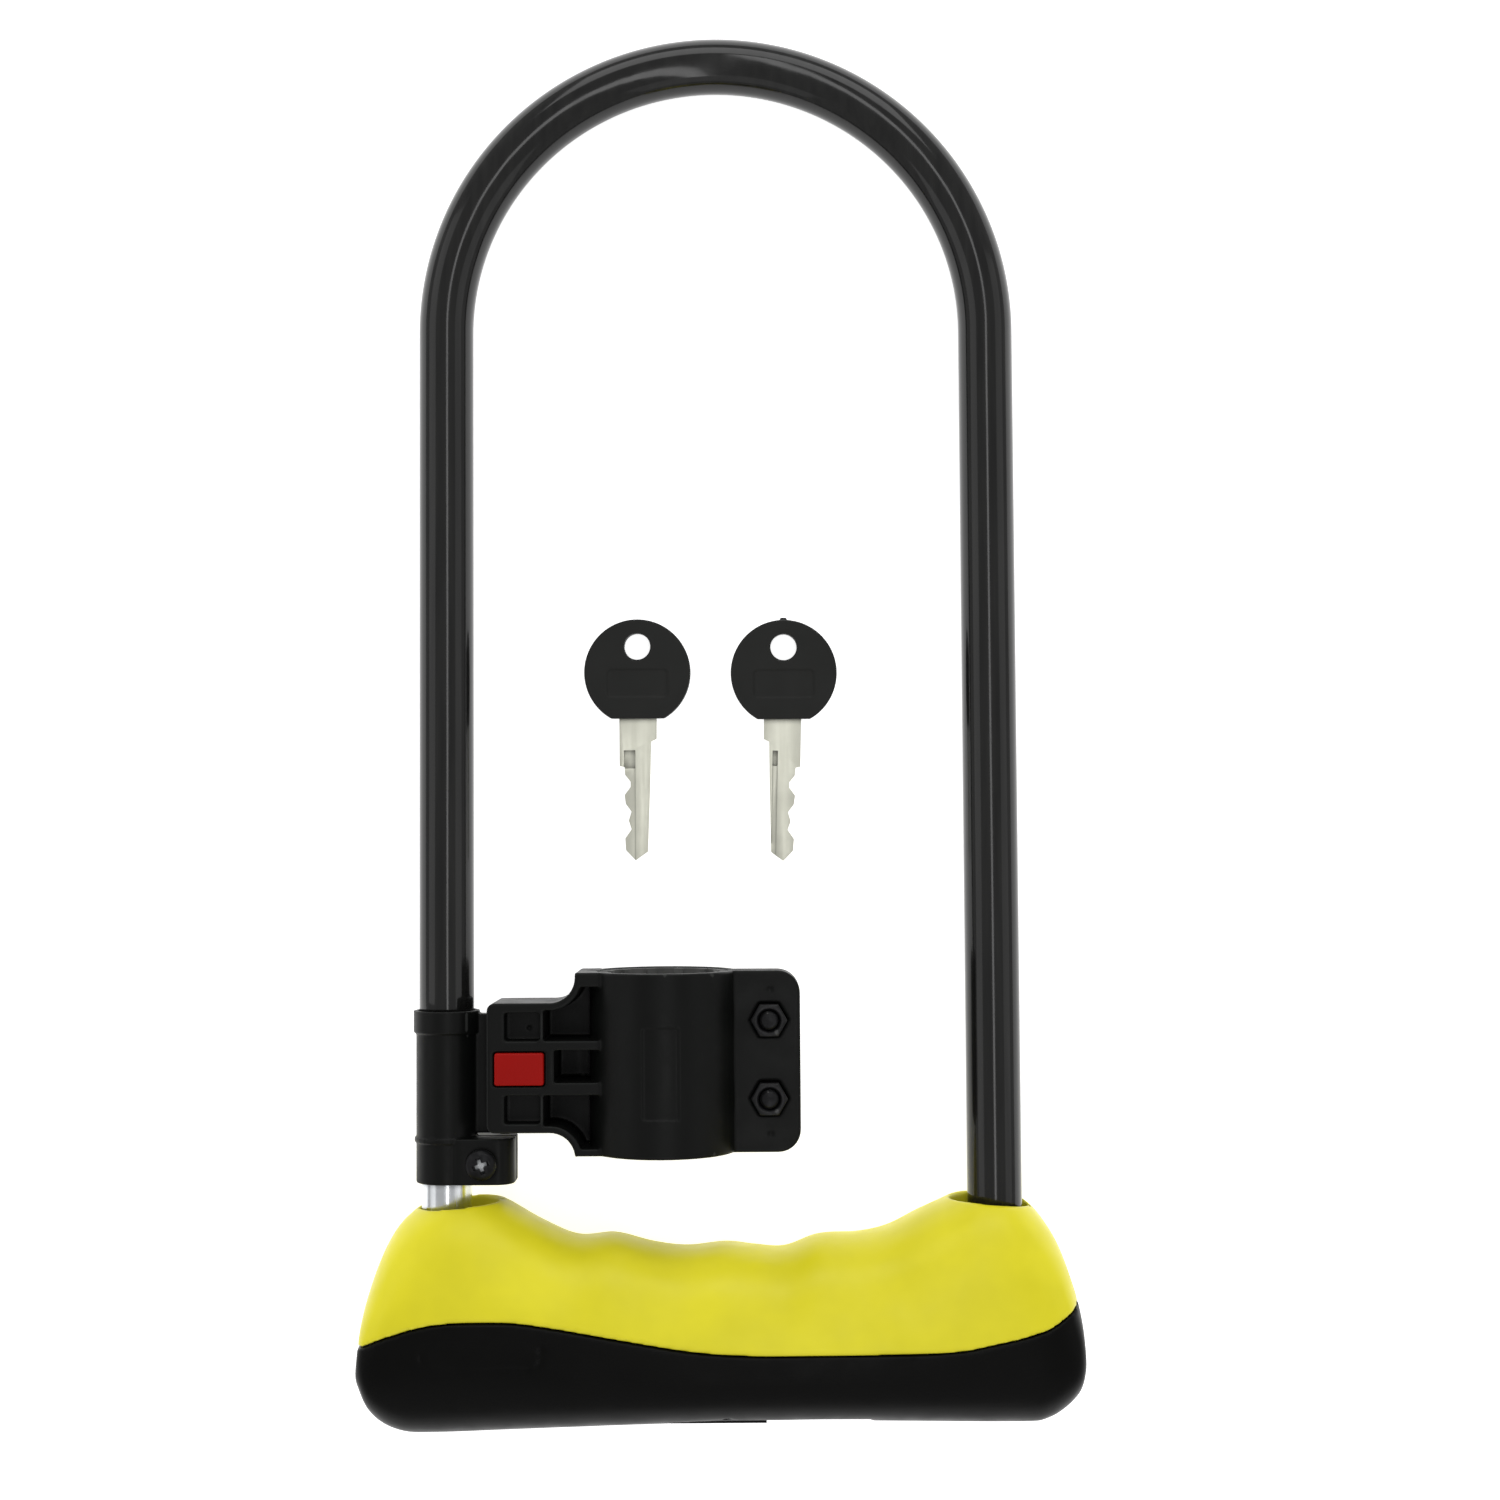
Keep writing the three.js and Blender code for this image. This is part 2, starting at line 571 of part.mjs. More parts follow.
function armHollows() {
  const face = RING.z + ARM.half;
  const shallow = [[ARM_MIDDLE + 7.2, ARM_MIDDLE + 14.7], [ARM_MIDDLE - 14.7, ARM_MIDDLE - 7.2]];
  const wide = [
    widePocket(1),
    widePocket(-1),
    block([-43.8, -30], [ARM_MIDDLE - 3.9, ARM_MIDDLE + 4.7], [-4, 30]),
  ].map((pocket) => cut(pocket, rodY(RING.radius, [0, 200], [RING.x, RING.z], 40)));
  const railGap = 0.4;
  return [
    ...shallow.map((ys) => block([-57, -47.5], ys, [face - 5, 30])),
    ...shallow.map((ys) => block([-48, -46], ys, [face - 2, 30])),
    ...wide,
    block([BUTTON.left - 0.25, BUTTON.right + 0.25], [BUTTON.bottom - 0.25, BUTTON.top + 0.25], [6.3, 30]),
    block([-70, RAIL.step + railGap], [0, RAIL.top + 1], [-RAIL.neck - railGap, RAIL.neck + railGap]),
    block([RAIL.step - railGap, RAIL.to + railGap], [0, RAIL.top + 1],
      [-RAIL.head - railGap, RAIL.head + railGap]),
  ];
}

function ear(from, to) {
  const outline = roundedRectangle([RING.x, EAR.right], [RING.bottom, RING.top], EAR.corner);
  return plate(outline, [from, to], 4);
}

function ringBody() {
  return rodY(RING.radius, [RING.bottom, RING.top], [RING.x, RING.z], 40);
}

function ringBore() {
  return rodY(RING.bore, [0, 200], [RING.x, RING.z], 40);
}

function earHoles() {
  return CLAMP_BOLT.ys.map((y) => rodZ(CLAMP_BOLT.radius + GAP, [-30, 30], [CLAMP_BOLT.x, y], 16));
}

const NUT = { corners: 9.8, height: 3.8, recess: 1.2 };
const HOOK = { tip: -38, ys: [62, 86], zs: [-7.5, -4.5] };

function clampFront() {
  const arm = plate(armShape(), [RING.z - ARM.half, RING.z + ARM.half], 5);
  const rearRound = rodY(RING.radius + 0.4, [0, 200], [RING.x, RING.z], 40);
  const rearSpace = common(rearRound, block([-80, 80], [0, 200], [-40, SPLIT.front]));
  const face = RING.z + EAR.half;
  const nutSeats = CLAMP_BOLT.ys.map((y) => (
    rodZ(NUT.corners / 2 + 0.4, [face - NUT.recess, 30], [CLAMP_BOLT.x, y], 6)
  ));
  const frontHalf = common(ringBody(), block([-80, 80], [0, 200], [SPLIT.front, 40]));
  const [hookWidth, hookDepth] = [HOOK.ys, HOOK.zs].map(([low, high]) => [low - 0.4, high + 0.4]);
  const hookSlot = block([HOOK.tip - 0.4, -30], hookWidth, hookDepth);
  return cut(
    join(arm, frontHalf, ear(SPLIT.front, face)),
    ...armHollows(),
    rearSpace,
    ringBore(),
    hookSlot,
    ...earHoles(),
    ...nutSeats,
  );
}

function clampRear() {
  const rearHalf = common(ringBody(), block([-80, 80], [0, 200], [-40, SPLIT.rear]));
  const hook = block([HOOK.tip, -31.5], HOOK.ys, HOOK.zs);
  return cut(
    join(rearHalf, ear(RING.z - EAR.half, SPLIT.rear), hook),
    ringBore(),
    ...earHoles(),
  );
}

// Half of the ribbed sleeve inside the ring: side is 1 for the front half, -1 for the rear.
function clampPad(side) {
  const height = [RING.bottom + 1, RING.top - 1];
  const axis = [0, 0];
  const ribs = Array.from({ length: PAD.ribs }, (_, i) => (
    block([PAD.rib, PAD.bore + 0.4], height, [-1.3, 1.3]).rotateY(((i + 0.5) / PAD.ribs) * Math.PI * 2)
  ));
  const sleeve = cut(rodY(PAD.radius, height, axis, 36), rodY(PAD.bore, [0, 200], axis, 36));
  const half = side > 0 ? [0.5, 40] : [-40, -0.5];
  return common(join(sleeve, ...ribs), block([-40, 40], [0, 200], half));
}

function clampBolt() {
  const { radius } = CLAMP_BOLT;
  const seat = -EAR.half - GAP;
  const shank = rodZ(radius, [seat - 1, EAR.half + 3.4], [0, 0], 16);
  const head = rodZ(4.4, [seat - 3, seat], [0, 0], 20);
  const socket = rodZ(2.3, [seat - 4, seat - 1.2], [0, 0], 6);
  return cut(join(shank, head), socket);
}

function releaseButton() {
  const { left, right, bottom, top, under, face } = BUTTON;
  const cap = block([left, right], [bottom, top], [under, face]);
  const springSeat = rodZ(2.3, [under - 1, under + 2.8], [(left + right) / 2, (bottom + top) / 2], 16);
  return cut(cap, springSeat);
}

function buttonSpring() {
  return coilSpring(1.6, 0.28, 4, 4).rotateX(Math.PI / 2);
}

// ---- Keys: drawn about the centre of the round head, blade down; mirror is 1 or -1 ----

function keyBladeShape(mirror) {
  const shape = new THREE.Shape();
  const to = (x, y) => shape.lineTo(mirror * x, y);
  shape.moveTo(mirror * -5.1, -5);
  to(-5.1, -25.7);
  to(-3.7, -25.7);
  const cuts = 5;
  const pitch = 4;
  for (let i = 0; i < cuts; i += 1) {
    const y = -28 - i * pitch;
    const depth = -2.3 + (i % 2) * 0.5;
    to(-3.7, y);
    to(depth, y - 1.2);
    to(depth, y - 2);
    to(-3.7, y - 3.2);
  }
  to(-3.4, -48.6);
  to(-0.7, -KEY.tip);
  to(2.9, -48.8);
  to(3.6, -18.9);
  to(5.3, -18.2);
  to(5.3, -5);
  return shape;
}

function keyBlade(mirror) {
  const half = KEY.thick / 2;
  const groove = plate(roundedRectangle([-1, 0.4], [-49, -27], 0.6), [half - 0.5, 3], 2);
  if (mirror < 0) groove.translate(0.6, 0, 0);
  return cut(plate(keyBladeShape(mirror), [-half, half]), groove);
}

function keyHead() {
  const start = -Math.asin(KEY.headFlat / KEY.headR);
  const shape = new THREE.Shape();
  shape.absarc(0, 0, KEY.headR, start, Math.PI - start);
  shape.holes.push(new THREE.Path().absarc(0, 7.2, 3.65, 0, Math.PI * 2, true));
  const half = KEY.headThick / 2;
  const bladeHalf = KEY.thick / 2 + GAP;
  const head = plate(shape, [-half, half], 18);
  return cut(head, block([-5.7, 5.7], [-30, -4.7], [-bladeHalf, bladeHalf]));
}

// ---- Assembly ----

function crossbar() {
  const parts = [
    piece('upper_cover', upperCover(), 'yellow'),
    piece('lower_cover', lowerCover(), 'black'),
    piece('dust_cover', dustCover(), 'black'),
    piece('crossbar_tube', crossbarTube(), 'steel'),
    placed(piece('tube_end_plug_left', tubeEndPlug().rotateY(Math.PI), 'black'), -TUBE.half + 3.6, 0, 0),
    placed(piece('tube_end_plug_right', tubeEndPlug(), 'black'), TUBE.half - 3.6, 0, 0),
    placed(piece('bolt_guide_left', boltGuide(), 'blackSteel'), -52, 0, 0),
    placed(piece('bolt_guide_right', boltGuide(), 'blackSteel'), 52, 0, 0),
    placed(piece('cover_screw_left', coverScrew(), 'blackSteel'), -COVER_SCREW.x, 0, 0),
    placed(piece('cover_screw_right', coverScrew(), 'blackSteel'), COVER_SCREW.x, 0, 0),
    piece('cylinder_body', cylinderBody(), 'brass'),
    piece('cylinder_plug', cylinderPlug(), 'brass'),
    placed(piece('retaining_pin', retainingPin(), 'steel'), RETAINING_PIN.x, RETAINING_PIN.y, 0),
    placed(piece('lock_cam', lockCam(), 'steel'), 0, 0, PLUG.z),
    piece('lock_bolt_left', lockBolt(1), 'steel'),
    piece('lock_bolt_right', lockBolt(-1), 'steel'),
  ];
  pinHeights.forEach((y, i) => {
    parts.push(placed(piece(`key_pin_${i + 1}`, keyPin(i), 'brass'), 0, y, 0));
    parts.push(placed(piece(`driver_pin_${i + 1}`, driverPin(), 'brass'), 0, y, 0));
    parts.push(placed(piece(`driver_spring_${i + 1}`, driverSpring(), 'steel'), 0, y, 0));
  });
  return parts;
}

function shackle() {
  const { x, y, half } = CLAMP_SCREW;
  return [
    piece('shackle_bar', shackleBar(), 'steel'),
    piece('shackle_sleeve', shackleSleeve(), 'sleeve'),
    piece('bracket_collar', bracketCollar(), 'black'),
    placed(piece('collar_screw', panScrew(), 'blackSteel'), x, y, 0),
    placed(piece('collar_nut', hexNut(8.2, 3, CLAMP_SCREW.radius + GAP), 'blackSteel'), x, y, -half - 1.6),
  ];
}

function bracket() {
  const pads = [['clamp_pad_front', 1], ['clamp_pad_rear', -1]].map(([name, side]) => (
    placed(piece(name, clampPad(side), 'rubber'), RING.x, 0, RING.z)
  ));
  const fasteners = ['lower', 'upper'].flatMap((which, i) => {
    const y = CLAMP_BOLT.ys[i];
    const nutZ = RING.z + EAR.half - NUT.recess + GAP;
    const nut = hexNut(NUT.corners, NUT.height, CLAMP_BOLT.radius + GAP);
    return [
      placed(piece(`clamp_bolt_${which}`, clampBolt(), 'blackSteel'), CLAMP_BOLT.x, y, RING.z),
      placed(piece(`clamp_nut_${which}`, nut, 'blackSteel'), CLAMP_BOLT.x, y, nutZ),
    ];
  });
  const buttonX = (BUTTON.left + BUTTON.right) / 2;
  const buttonY = (BUTTON.bottom + BUTTON.top) / 2;
  return [
    piece('clamp_front', clampFront(), 'black'),
    piece('clamp_rear', clampRear(), 'black'),
    ...pads,
    ...fasteners,
    piece('release_button', releaseButton(), 'red'),
    placed(piece('button_spring', buttonSpring(), 'steel'), buttonX, buttonY, 6.9),
  ];
}

function keys(dx, dy) {
  return KEY_PLACES.flatMap(({ x, y, mirror }, i) => [
    placed(piece(`key_${i + 1}_head`, keyHead(), 'black'), x + dx, y + dy, KEY.headThick / 2),
    placed(piece(`key_${i + 1}_blade`, keyBlade(mirror), 'nickel'), x + dx, y + dy, KEY.headThick / 2),
  ]);
}

// The lock leans until the bend's outside touches down level with the underside of the crossbar,
// which leans over onto its thicker leg collars by a little more than its half depth.
const CROSSBAR_REST = HALF_DEPTH + 0.3;
const TILT = Math.asin((CROSSBAR_REST - SLEEVE_R) / (LEG_TOP + LEG_X));

const lock = new THREE.Group();
lock.add(...crossbar(), ...shackle(), ...bracket());
lock.rotation.x = -TILT;

const extent = new THREE.Box3().setFromObject(lock, true);
const middle = extent.getCenter(new THREE.Vector3());
lock.position.set(-middle.x, -middle.y, -extent.min.z);

const lockAndKeys = new THREE.Group();
lockAndKeys.add(lock, ...keys(-middle.x, -middle.y));

export default lockAndKeys;
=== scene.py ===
# The looks of a u lock, its frame bracket and its two keys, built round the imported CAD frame.
# Pieces are drawn in millimetres in the lock's own frame, as the CAD model is: x along the crossbar,
# y along the legs towards the bend, z out of the plane of the U. LOCK puts them in the row frame.

import json
import math

import bmesh
import bpy
from mathutils import Matrix, Vector


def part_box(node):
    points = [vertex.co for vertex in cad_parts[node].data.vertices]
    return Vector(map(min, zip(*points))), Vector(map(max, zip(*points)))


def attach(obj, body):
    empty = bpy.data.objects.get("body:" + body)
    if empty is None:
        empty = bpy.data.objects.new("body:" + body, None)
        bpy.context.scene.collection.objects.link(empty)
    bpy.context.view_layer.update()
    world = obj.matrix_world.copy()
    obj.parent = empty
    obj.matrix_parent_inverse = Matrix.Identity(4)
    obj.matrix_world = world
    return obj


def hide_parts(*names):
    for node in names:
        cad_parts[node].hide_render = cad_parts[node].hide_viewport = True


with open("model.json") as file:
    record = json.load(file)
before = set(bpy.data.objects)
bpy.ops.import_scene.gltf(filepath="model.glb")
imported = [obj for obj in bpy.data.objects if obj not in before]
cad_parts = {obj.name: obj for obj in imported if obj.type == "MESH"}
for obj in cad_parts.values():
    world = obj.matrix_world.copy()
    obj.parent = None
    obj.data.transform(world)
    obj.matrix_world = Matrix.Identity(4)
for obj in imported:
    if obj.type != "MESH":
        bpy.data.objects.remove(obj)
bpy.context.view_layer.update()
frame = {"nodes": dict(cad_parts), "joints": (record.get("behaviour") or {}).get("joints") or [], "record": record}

MM = 0.001
GAP = 0.3  # clearance between neighbouring pieces
TURN = math.tau
REACH = 30  # takes a cutting shape past the covers or the bracket in y or z
WHOLE_LEG = (0, 200)  # a stretch of y that passes everything on a leg

# ---- The lock's own frame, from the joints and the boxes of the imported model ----


def lock_frame():
    joints = {joint["name"]: joint for joint in frame["joints"]}
    across = Vector((1, 0, 0))
    along = -Vector(joints["crossbar_slide"]["axis"]).normalized()
    turn = Matrix((across, along, across.cross(along))).transposed().to_4x4()
    middle = sum(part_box("crossbar_tube"), Vector()) / 2
    return Matrix.Translation(middle) @ turn


LOCK = lock_frame()
TO_LOCK = LOCK.inverted()


def lock_box(node):
    """The lowest and highest corners of a CAD node in the lock's frame, in millimetres."""
    points = [(TO_LOCK @ vertex.co) / MM for vertex in frame["nodes"][node].data.vertices]
    low = Vector([min(point[i] for point in points) for i in range(3)])
    high = Vector([max(point[i] for point in points) for i in range(3)])
    return low, high


def lock_middle(node):
    low, high = lock_box(node)
    return (low + high) / 2


# ---- Meshes: closed shapes in millimetres, and the ways to combine them ----


def mesh_of(vertices, faces):
    """A mesh with its doubled points welded and its faces turned outwards."""
    mesh = bpy.data.meshes.new("shape")
    mesh.from_pydata([tuple(vertex) for vertex in vertices], [], faces)
    work = bmesh.new()
    work.from_mesh(mesh)
    bmesh.ops.remove_doubles(work, verts=work.verts, dist=1e-4)
    bmesh.ops.recalc_face_normals(work, faces=work.faces)
    work.to_mesh(mesh)
    work.free()
    return mesh


def moved(mesh, matrix):
    mesh.transform(matrix)
    if matrix.determinant() < 0:
        mesh.flip_normals()
    return mesh


def shifted(mesh, x, y, z):
    return moved(mesh, Matrix.Translation((x, y, z)))


def block(xs, ys, zs):
    """A box between two values on each axis."""
    corners = [(x, y, z) for x in xs for y in ys for z in zs]
    faces = [(0, 1, 3, 2), (4, 6, 7, 5), (0, 4, 5, 1), (2, 3, 7, 6), (0, 2, 6, 4), (1, 5, 7, 3)]
    return mesh_of(corners, faces)


def plate(outline, zs):
    """A flat outline in x and y between two values of z."""
    count = len(outline)
    vertices = [(x, y, z) for z in zs for x, y in outline]
    faces = [tuple(range(count)), tuple(range(count, 2 * count))]
    faces += [(i, (i + 1) % count, count + (i + 1) % count, count + i) for i in range(count)]
    return mesh_of(vertices, faces)


def lathe(profile, sides=64):
    """A profile of (radius, z) points, from the axis out and back to it, turned about z."""
    vertices = []
    for i in range(sides):
        angle = TURN * i / sides
        vertices += [(r * math.cos(angle), r * math.sin(angle), z) for r, z in profile]
    count = len(profile)
    faces = []
    for i in range(sides):
        here, there = i * count, ((i + 1) % sides) * count
        faces += [(here + j, there + j, there + j + 1, here + j + 1) for j in range(count - 1)]
    return mesh_of(vertices, faces)


def rod(axis, radius, span, centre, sides=72):
    """A round bar along one axis; centre is its place on the two other axes, in order."""
    low, high = span
    mesh = lathe([(0, low), (radius, low), (radius, high), (0, high)], sides)
    a, b = centre
    if axis == "x":
        return shifted(moved(mesh, Matrix.Rotation(math.pi / 2, 4, "Y")), 0, a, b)
    if axis == "y":
        return shifted(moved(mesh, Matrix.Rotation(-math.pi / 2, 4, "X")), a, 0, b)
    return shifted(mesh, a, b, 0)


def arc(centre, radius, start, end, steps=12):
    """Points along a round stretch of an outline."""
    x, y = centre
    angles = [start + (end - start) * i / steps for i in range(steps + 1)]
    return [(x + radius * math.cos(angle), y + radius * math.sin(angle)) for angle in angles]


def rounded_rectangle(xs, ys, radius, steps=8):
    (x0, x1), (y0, y1) = xs, ys
    corners = [(x1, y0), (x1, y1), (x0, y1), (x0, y0)]
    outline = []
    for i, (x, y) in enumerate(corners):
        centre = (x - radius if x == x1 else x + radius, y - radius if y == y1 else y + radius)
        start = (i - 1) * math.pi / 2
        outline += arc(centre, radius, start, start + math.pi / 2, steps)
    return outline


def scene_object(mesh, name="working"):
    obj = bpy.data.objects.new(name, mesh)
    bpy.context.scene.collection.objects.link(obj)
    return obj


def evaluated(obj):
    """The object's mesh with its modifiers applied."""
    graph = bpy.context.evaluated_depsgraph_get()
    return bpy.data.meshes.new_from_object(obj.evaluated_get(graph), depsgraph=graph)


def combined(base, tools, operation):
    """base with each tool joined to it, cut from it, or kept in common with it."""
    obj = scene_object(base)
    others = [scene_object(tool, f"tool_{i}") for i, tool in enumerate(tools)]
    for other in others:
        modifier = obj.modifiers.new("boolean", "BOOLEAN")
        modifier.operation = operation
        modifier.solver = "MANIFOLD"
        modifier.object = other
    result = evaluated(obj)
    for used in [obj, *others]:
        bpy.data.objects.remove(used)
    return result


def join(base, *tools):
    return combined(base, tools, "UNION")


def cut(base, *tools):
    return combined(base, tools, "DIFFERENCE")


def common(base, *tools):
    return combined(base, tools, "INTERSECT")


def moulded(mesh, voxel, smoothing=6):
    """A mesh with all its edges softened, as a plastic moulding has them."""
    obj = scene_object(mesh)
    remesh = obj.modifiers.new("remesh", "REMESH")
    remesh.mode = "VOXEL"
    remesh.voxel_size = voxel
    smooth = obj.modifiers.new("smooth", "SMOOTH")
    smooth.factor = 0.5
    smooth.iterations = smoothing
    result = evaluated(obj)
    bpy.data.objects.remove(obj)
    return result


def bevelled(mesh, width, segments=3, angle=30):
    """A mesh with its sharp edges rounded."""
    work = bmesh.new()
    work.from_mesh(mesh)
    bmesh.ops.remove_doubles(work, verts=work.verts, dist=1e-3)
    bmesh.ops.dissolve_limit(work, angle_limit=math.radians(0.5), verts=work.verts, edges=work.edges)
    work.to_mesh(mesh)
    work.free()
    obj = scene_object(mesh)
    bevel = obj.modifiers.new("bevel", "BEVEL")
    bevel.width = width
    bevel.segments = segments
    bevel.limit_method = "ANGLE"
    bevel.angle_limit = math.radians(angle)
    bevel.use_clamp_overlap = True
    result = evaluated(obj)
    bpy.data.objects.remove(obj)
    return result


def shade(mesh, sharp_angle):
    """Smooth shading, except across edges that turn by more than the angle."""
    work = bmesh.new()
    work.from_mesh(mesh)
    bmesh.ops.triangulate(work, faces=[face for face in work.faces if len(face.verts) > 4])
    for face in work.faces:
        face.smooth = True
    for edge in work.edges:
        edge.smooth = len(edge.link_faces) == 2 and edge.calc_face_angle() < math.radians(sharp_angle)
    work.to_mesh(mesh)
    work.free()
    return mesh


def add_piece(name, mesh, material, *, body, replaces=(), sharp_angle=40, place=None):
    """A finished piece in the row frame, riding on a body."""
    mesh.transform((place or LOCK) @ Matrix.Scale(MM, 4))
    mesh.materials.clear()
    mesh.materials.append(material)
    mesh.name = name
    obj = scene_object(shade(mesh, sharp_angle), name)
    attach(obj, body)
    if replaces:
        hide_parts(*replaces)


# ---- Materials ----


class Nodes:
    """A material's node tree, built one node at a time."""

    def __init__(self, name):
        self.material = bpy.data.materials.new(name)
        self.material.use_nodes = True
        self.tree = self.material.node_tree
        self.shader = self.tree.nodes["Principled BSDF"]
        self.place = self.add("ShaderNodeTexCoord").outputs["Object"]

    def add(self, kind, **values):
        node = self.tree.nodes.new(kind)
        for key, value in values.items():
            if key in node.inputs:
                node.inputs[key].default_value = value
            else:
                setattr(node, key, value)
        return node

    def link(self, output, node, socket):
        self.tree.links.new(output, node.inputs[socket])

    def noise(self, scale, detail, stretch=(1, 1, 1)):
        mapping = self.add("ShaderNodeMapping", Scale=stretch)
        self.link(self.place, mapping, "Vector")
        noise = self.add("ShaderNodeTexNoise", Scale=scale, Detail=detail, Roughness=0.55)
        self.link(mapping.outputs["Vector"], noise, "Vector")
        return noise.outputs["Fac"]

    def spread(self, value, low, high, start=0.3, end=0.7):
        """Maps the middle of a noise value's range to values from low to high."""
        node = self.add("ShaderNodeMapRange", **{"From Min": start, "From Max": end})
        node.inputs["To Min"].default_value = low
        node.inputs["To Max"].default_value = high
        self.link(value, node, "Value")
        return node.outputs["Result"]

    def mix(self, factor, colour_a, colour_b):
        """Goes from colour_a to colour_b as the factor goes from 0 to 1."""
        node = self.add("ShaderNodeMix", data_type="RGBA")
        for socket, colour in (("A", colour_a), ("B", colour_b)):
            target = next(s for s in node.inputs if s.name == socket and s.type == "RGBA")
            if isinstance(colour, tuple):
                target.default_value = (*colour, 1)
            else:
                self.tree.links.new(colour, target)
        self.link(factor, node, "Factor")
        return next(s for s in node.outputs if s.type == "RGBA")

    def edges(self):
        """Where the surface turns outwards: edges made paler, partly as wear and partly as a painted highlight
        where they catch the light.
        """
        geometry = self.add("ShaderNodeNewGeometry")
        return self.spread(geometry.outputs["Pointiness"], 0, 1, 0.52, 0.6)

    def open_to_light(self):
        """Falls from 1 to 0 in corners and narrow recesses: the mask for painted shade where little light comes.
        """
        node = self.add("ShaderNodeAmbientOcclusion", Distance=0.0018)
        return self.spread(node.outputs["AO"], 0, 1, 0.25, 0.95)

    def bump(self, height, strength, distance):
        node = self.add("ShaderNodeBump", Strength=strength, Distance=distance)
        self.link(height, node, "Height")
        self.link(node.outputs["Normal"], self.shader, "Normal")

    def set(self, **constants):
        """Constant values on the shader's own sockets, named with underscores for spaces."""
        for name, value in constants.items():
            self.shader.inputs[name.replace("_", " ")].default_value = value

    def finish(self, colour, roughness):
        self.link(colour, self.shader, "Base Color")
        self.link(roughness, self.shader, "Roughness")
        return self.material


def moulded_plastic(name, colour, wear_and_highlight, roughness, grain=1800, bump=0.12, shine=0.12):
    """Plastic from a fine eroded mould: faint mottling, a fine grain and paler edges, partly wear and partly a
    painted highlight.
    """
    nodes = Nodes(name)
    cloud = nodes.spread(nodes.noise(45, 3), 0, 1)
    deep = tuple(channel * 0.88 for channel in colour)
    body = nodes.mix(cloud, deep, colour)
    # paler edges: partly wear, partly a painted highlight where the edges catch the light
    edge_wear_and_highlight = nodes.mix(nodes.edges(), body, wear_and_highlight)
    fine = nodes.noise(grain, 2)
    rough = nodes.spread(nodes.noise(140, 4), roughness - 0.06, roughness + 0.07)
    nodes.bump(fine, bump, 0.00006)
    nodes.set(Specular_IOR_Level=shine)
    return nodes.finish(edge_wear_and_highlight, rough)


def gloss_sleeve():
    """Glossy vinyl: near black, with long soft waves and faint streaks along the legs."""
    nodes = Nodes("gloss_sleeve")
    waves = nodes.noise(60, 2, stretch=(1, 0.12, 1))
    streaks = nodes.noise(420, 3, stretch=(1, 0.03, 1))
    colour = nodes.mix(nodes.spread(streaks, 0, 1), (0.0035, 0.0035, 0.0035), (0.01, 0.01, 0.0095))
    rough = nodes.spread(nodes.noise(150, 5), 0.09, 0.16)
    nodes.bump(waves, 0.25, 0.0006)
    nodes.set(Specular_IOR_Level=0.24, Coat_Weight=0.2, Coat_Roughness=0.06)
    return nodes.finish(colour, rough)


def metal(name, colour, dull, roughness, stretch):
    """Metal with fine scratches drawn along one direction, duller patches and painted shade darkening its
    recesses.
    """
    nodes = Nodes(name)
    nodes.set(Metallic=1.0)
    patches = nodes.spread(nodes.noise(90, 4), 0, 1)
    lines = nodes.noise(900, 4, stretch=stretch)
    rough = nodes.spread(lines, roughness - 0.07, roughness + 0.1)
    nodes.bump(lines, 0.2, 0.00004)
    # painted shade: the colour falls to a dark tone in corners and recesses, following the occlusion mask
    recess_shade = tuple(channel * 0.12 for channel in dull)
    clean = nodes.mix(patches, dull, colour)
    return nodes.finish(nodes.mix(nodes.open_to_light(), recess_shade, clean), rough)


def black_oxide():
    """Blackened steel, paler along its edges: partly bare metal showing through, partly a painted highlight."""
    nodes = Nodes("black_oxide")
    nodes.set(Metallic=0.6, Specular_IOR_Level=0.15)
    patches = nodes.spread(nodes.noise(500, 4), 0, 1)
    base = nodes.mix(patches, (0.006, 0.006, 0.0065), (0.016, 0.016, 0.017))
    # paler edges: partly bare metal, partly a painted highlight where the edges catch the light
    colour = nodes.mix(nodes.edges(), base, (0.05, 0.05, 0.05))
    rough = nodes.spread(nodes.noise(700, 3), 0.28, 0.46)
    nodes.bump(nodes.noise(1500, 3), 0.15, 0.00004)
    return nodes.finish(colour, rough)


def rubber():
    """Matt rubber, dusty grey in patches."""
    nodes = Nodes("pad_rubber")
    patches = nodes.spread(nodes.noise(120, 4), 0, 1)
    colour = nodes.mix(patches, (0.04, 0.041, 0.039), (0.075, 0.076, 0.073))
    nodes.bump(nodes.noise(1400, 3), 0.3, 0.00008)
    return nodes.finish(colour, nodes.spread(nodes.noise(300, 3), 0.68, 0.88))


# the second colour of each plastic is its paler edges: partly wear, partly a painted highlight
YELLOW = moulded_plastic(
    "yellow_shell", (0.74, 0.67, 0.018), (0.84, 0.79, 0.08), 0.36, bump=0.08, shine=0.22,
)
BLACK = moulded_plastic("black_shell", (0.0035, 0.0035, 0.0033), (0.01, 0.01, 0.01), 0.34, shine=0.045)
BRACKET_BLACK = moulded_plastic(
    "bracket_black", (0.0035, 0.0038, 0.0035), (0.026, 0.027, 0.026), 0.4, shine=0.11,
)
KEY_BLACK = moulded_plastic("key_black", (0.015, 0.0155, 0.0145), (0.045, 0.045, 0.045), 0.5, grain=2600)
RED = moulded_plastic("button_red", (0.3, 0.003, 0.0015), (0.4, 0.01, 0.005), 0.42, shine=0.1)
SLEEVE = gloss_sleeve()
STEEL = metal("plated_steel", (0.78, 0.8, 0.82), (0.6, 0.62, 0.64), 0.2, (1, 0.05, 1))
NICKEL = metal("nickel", (0.66, 0.66, 0.57), (0.56, 0.56, 0.48), 0.45, (1, 0.06, 1))
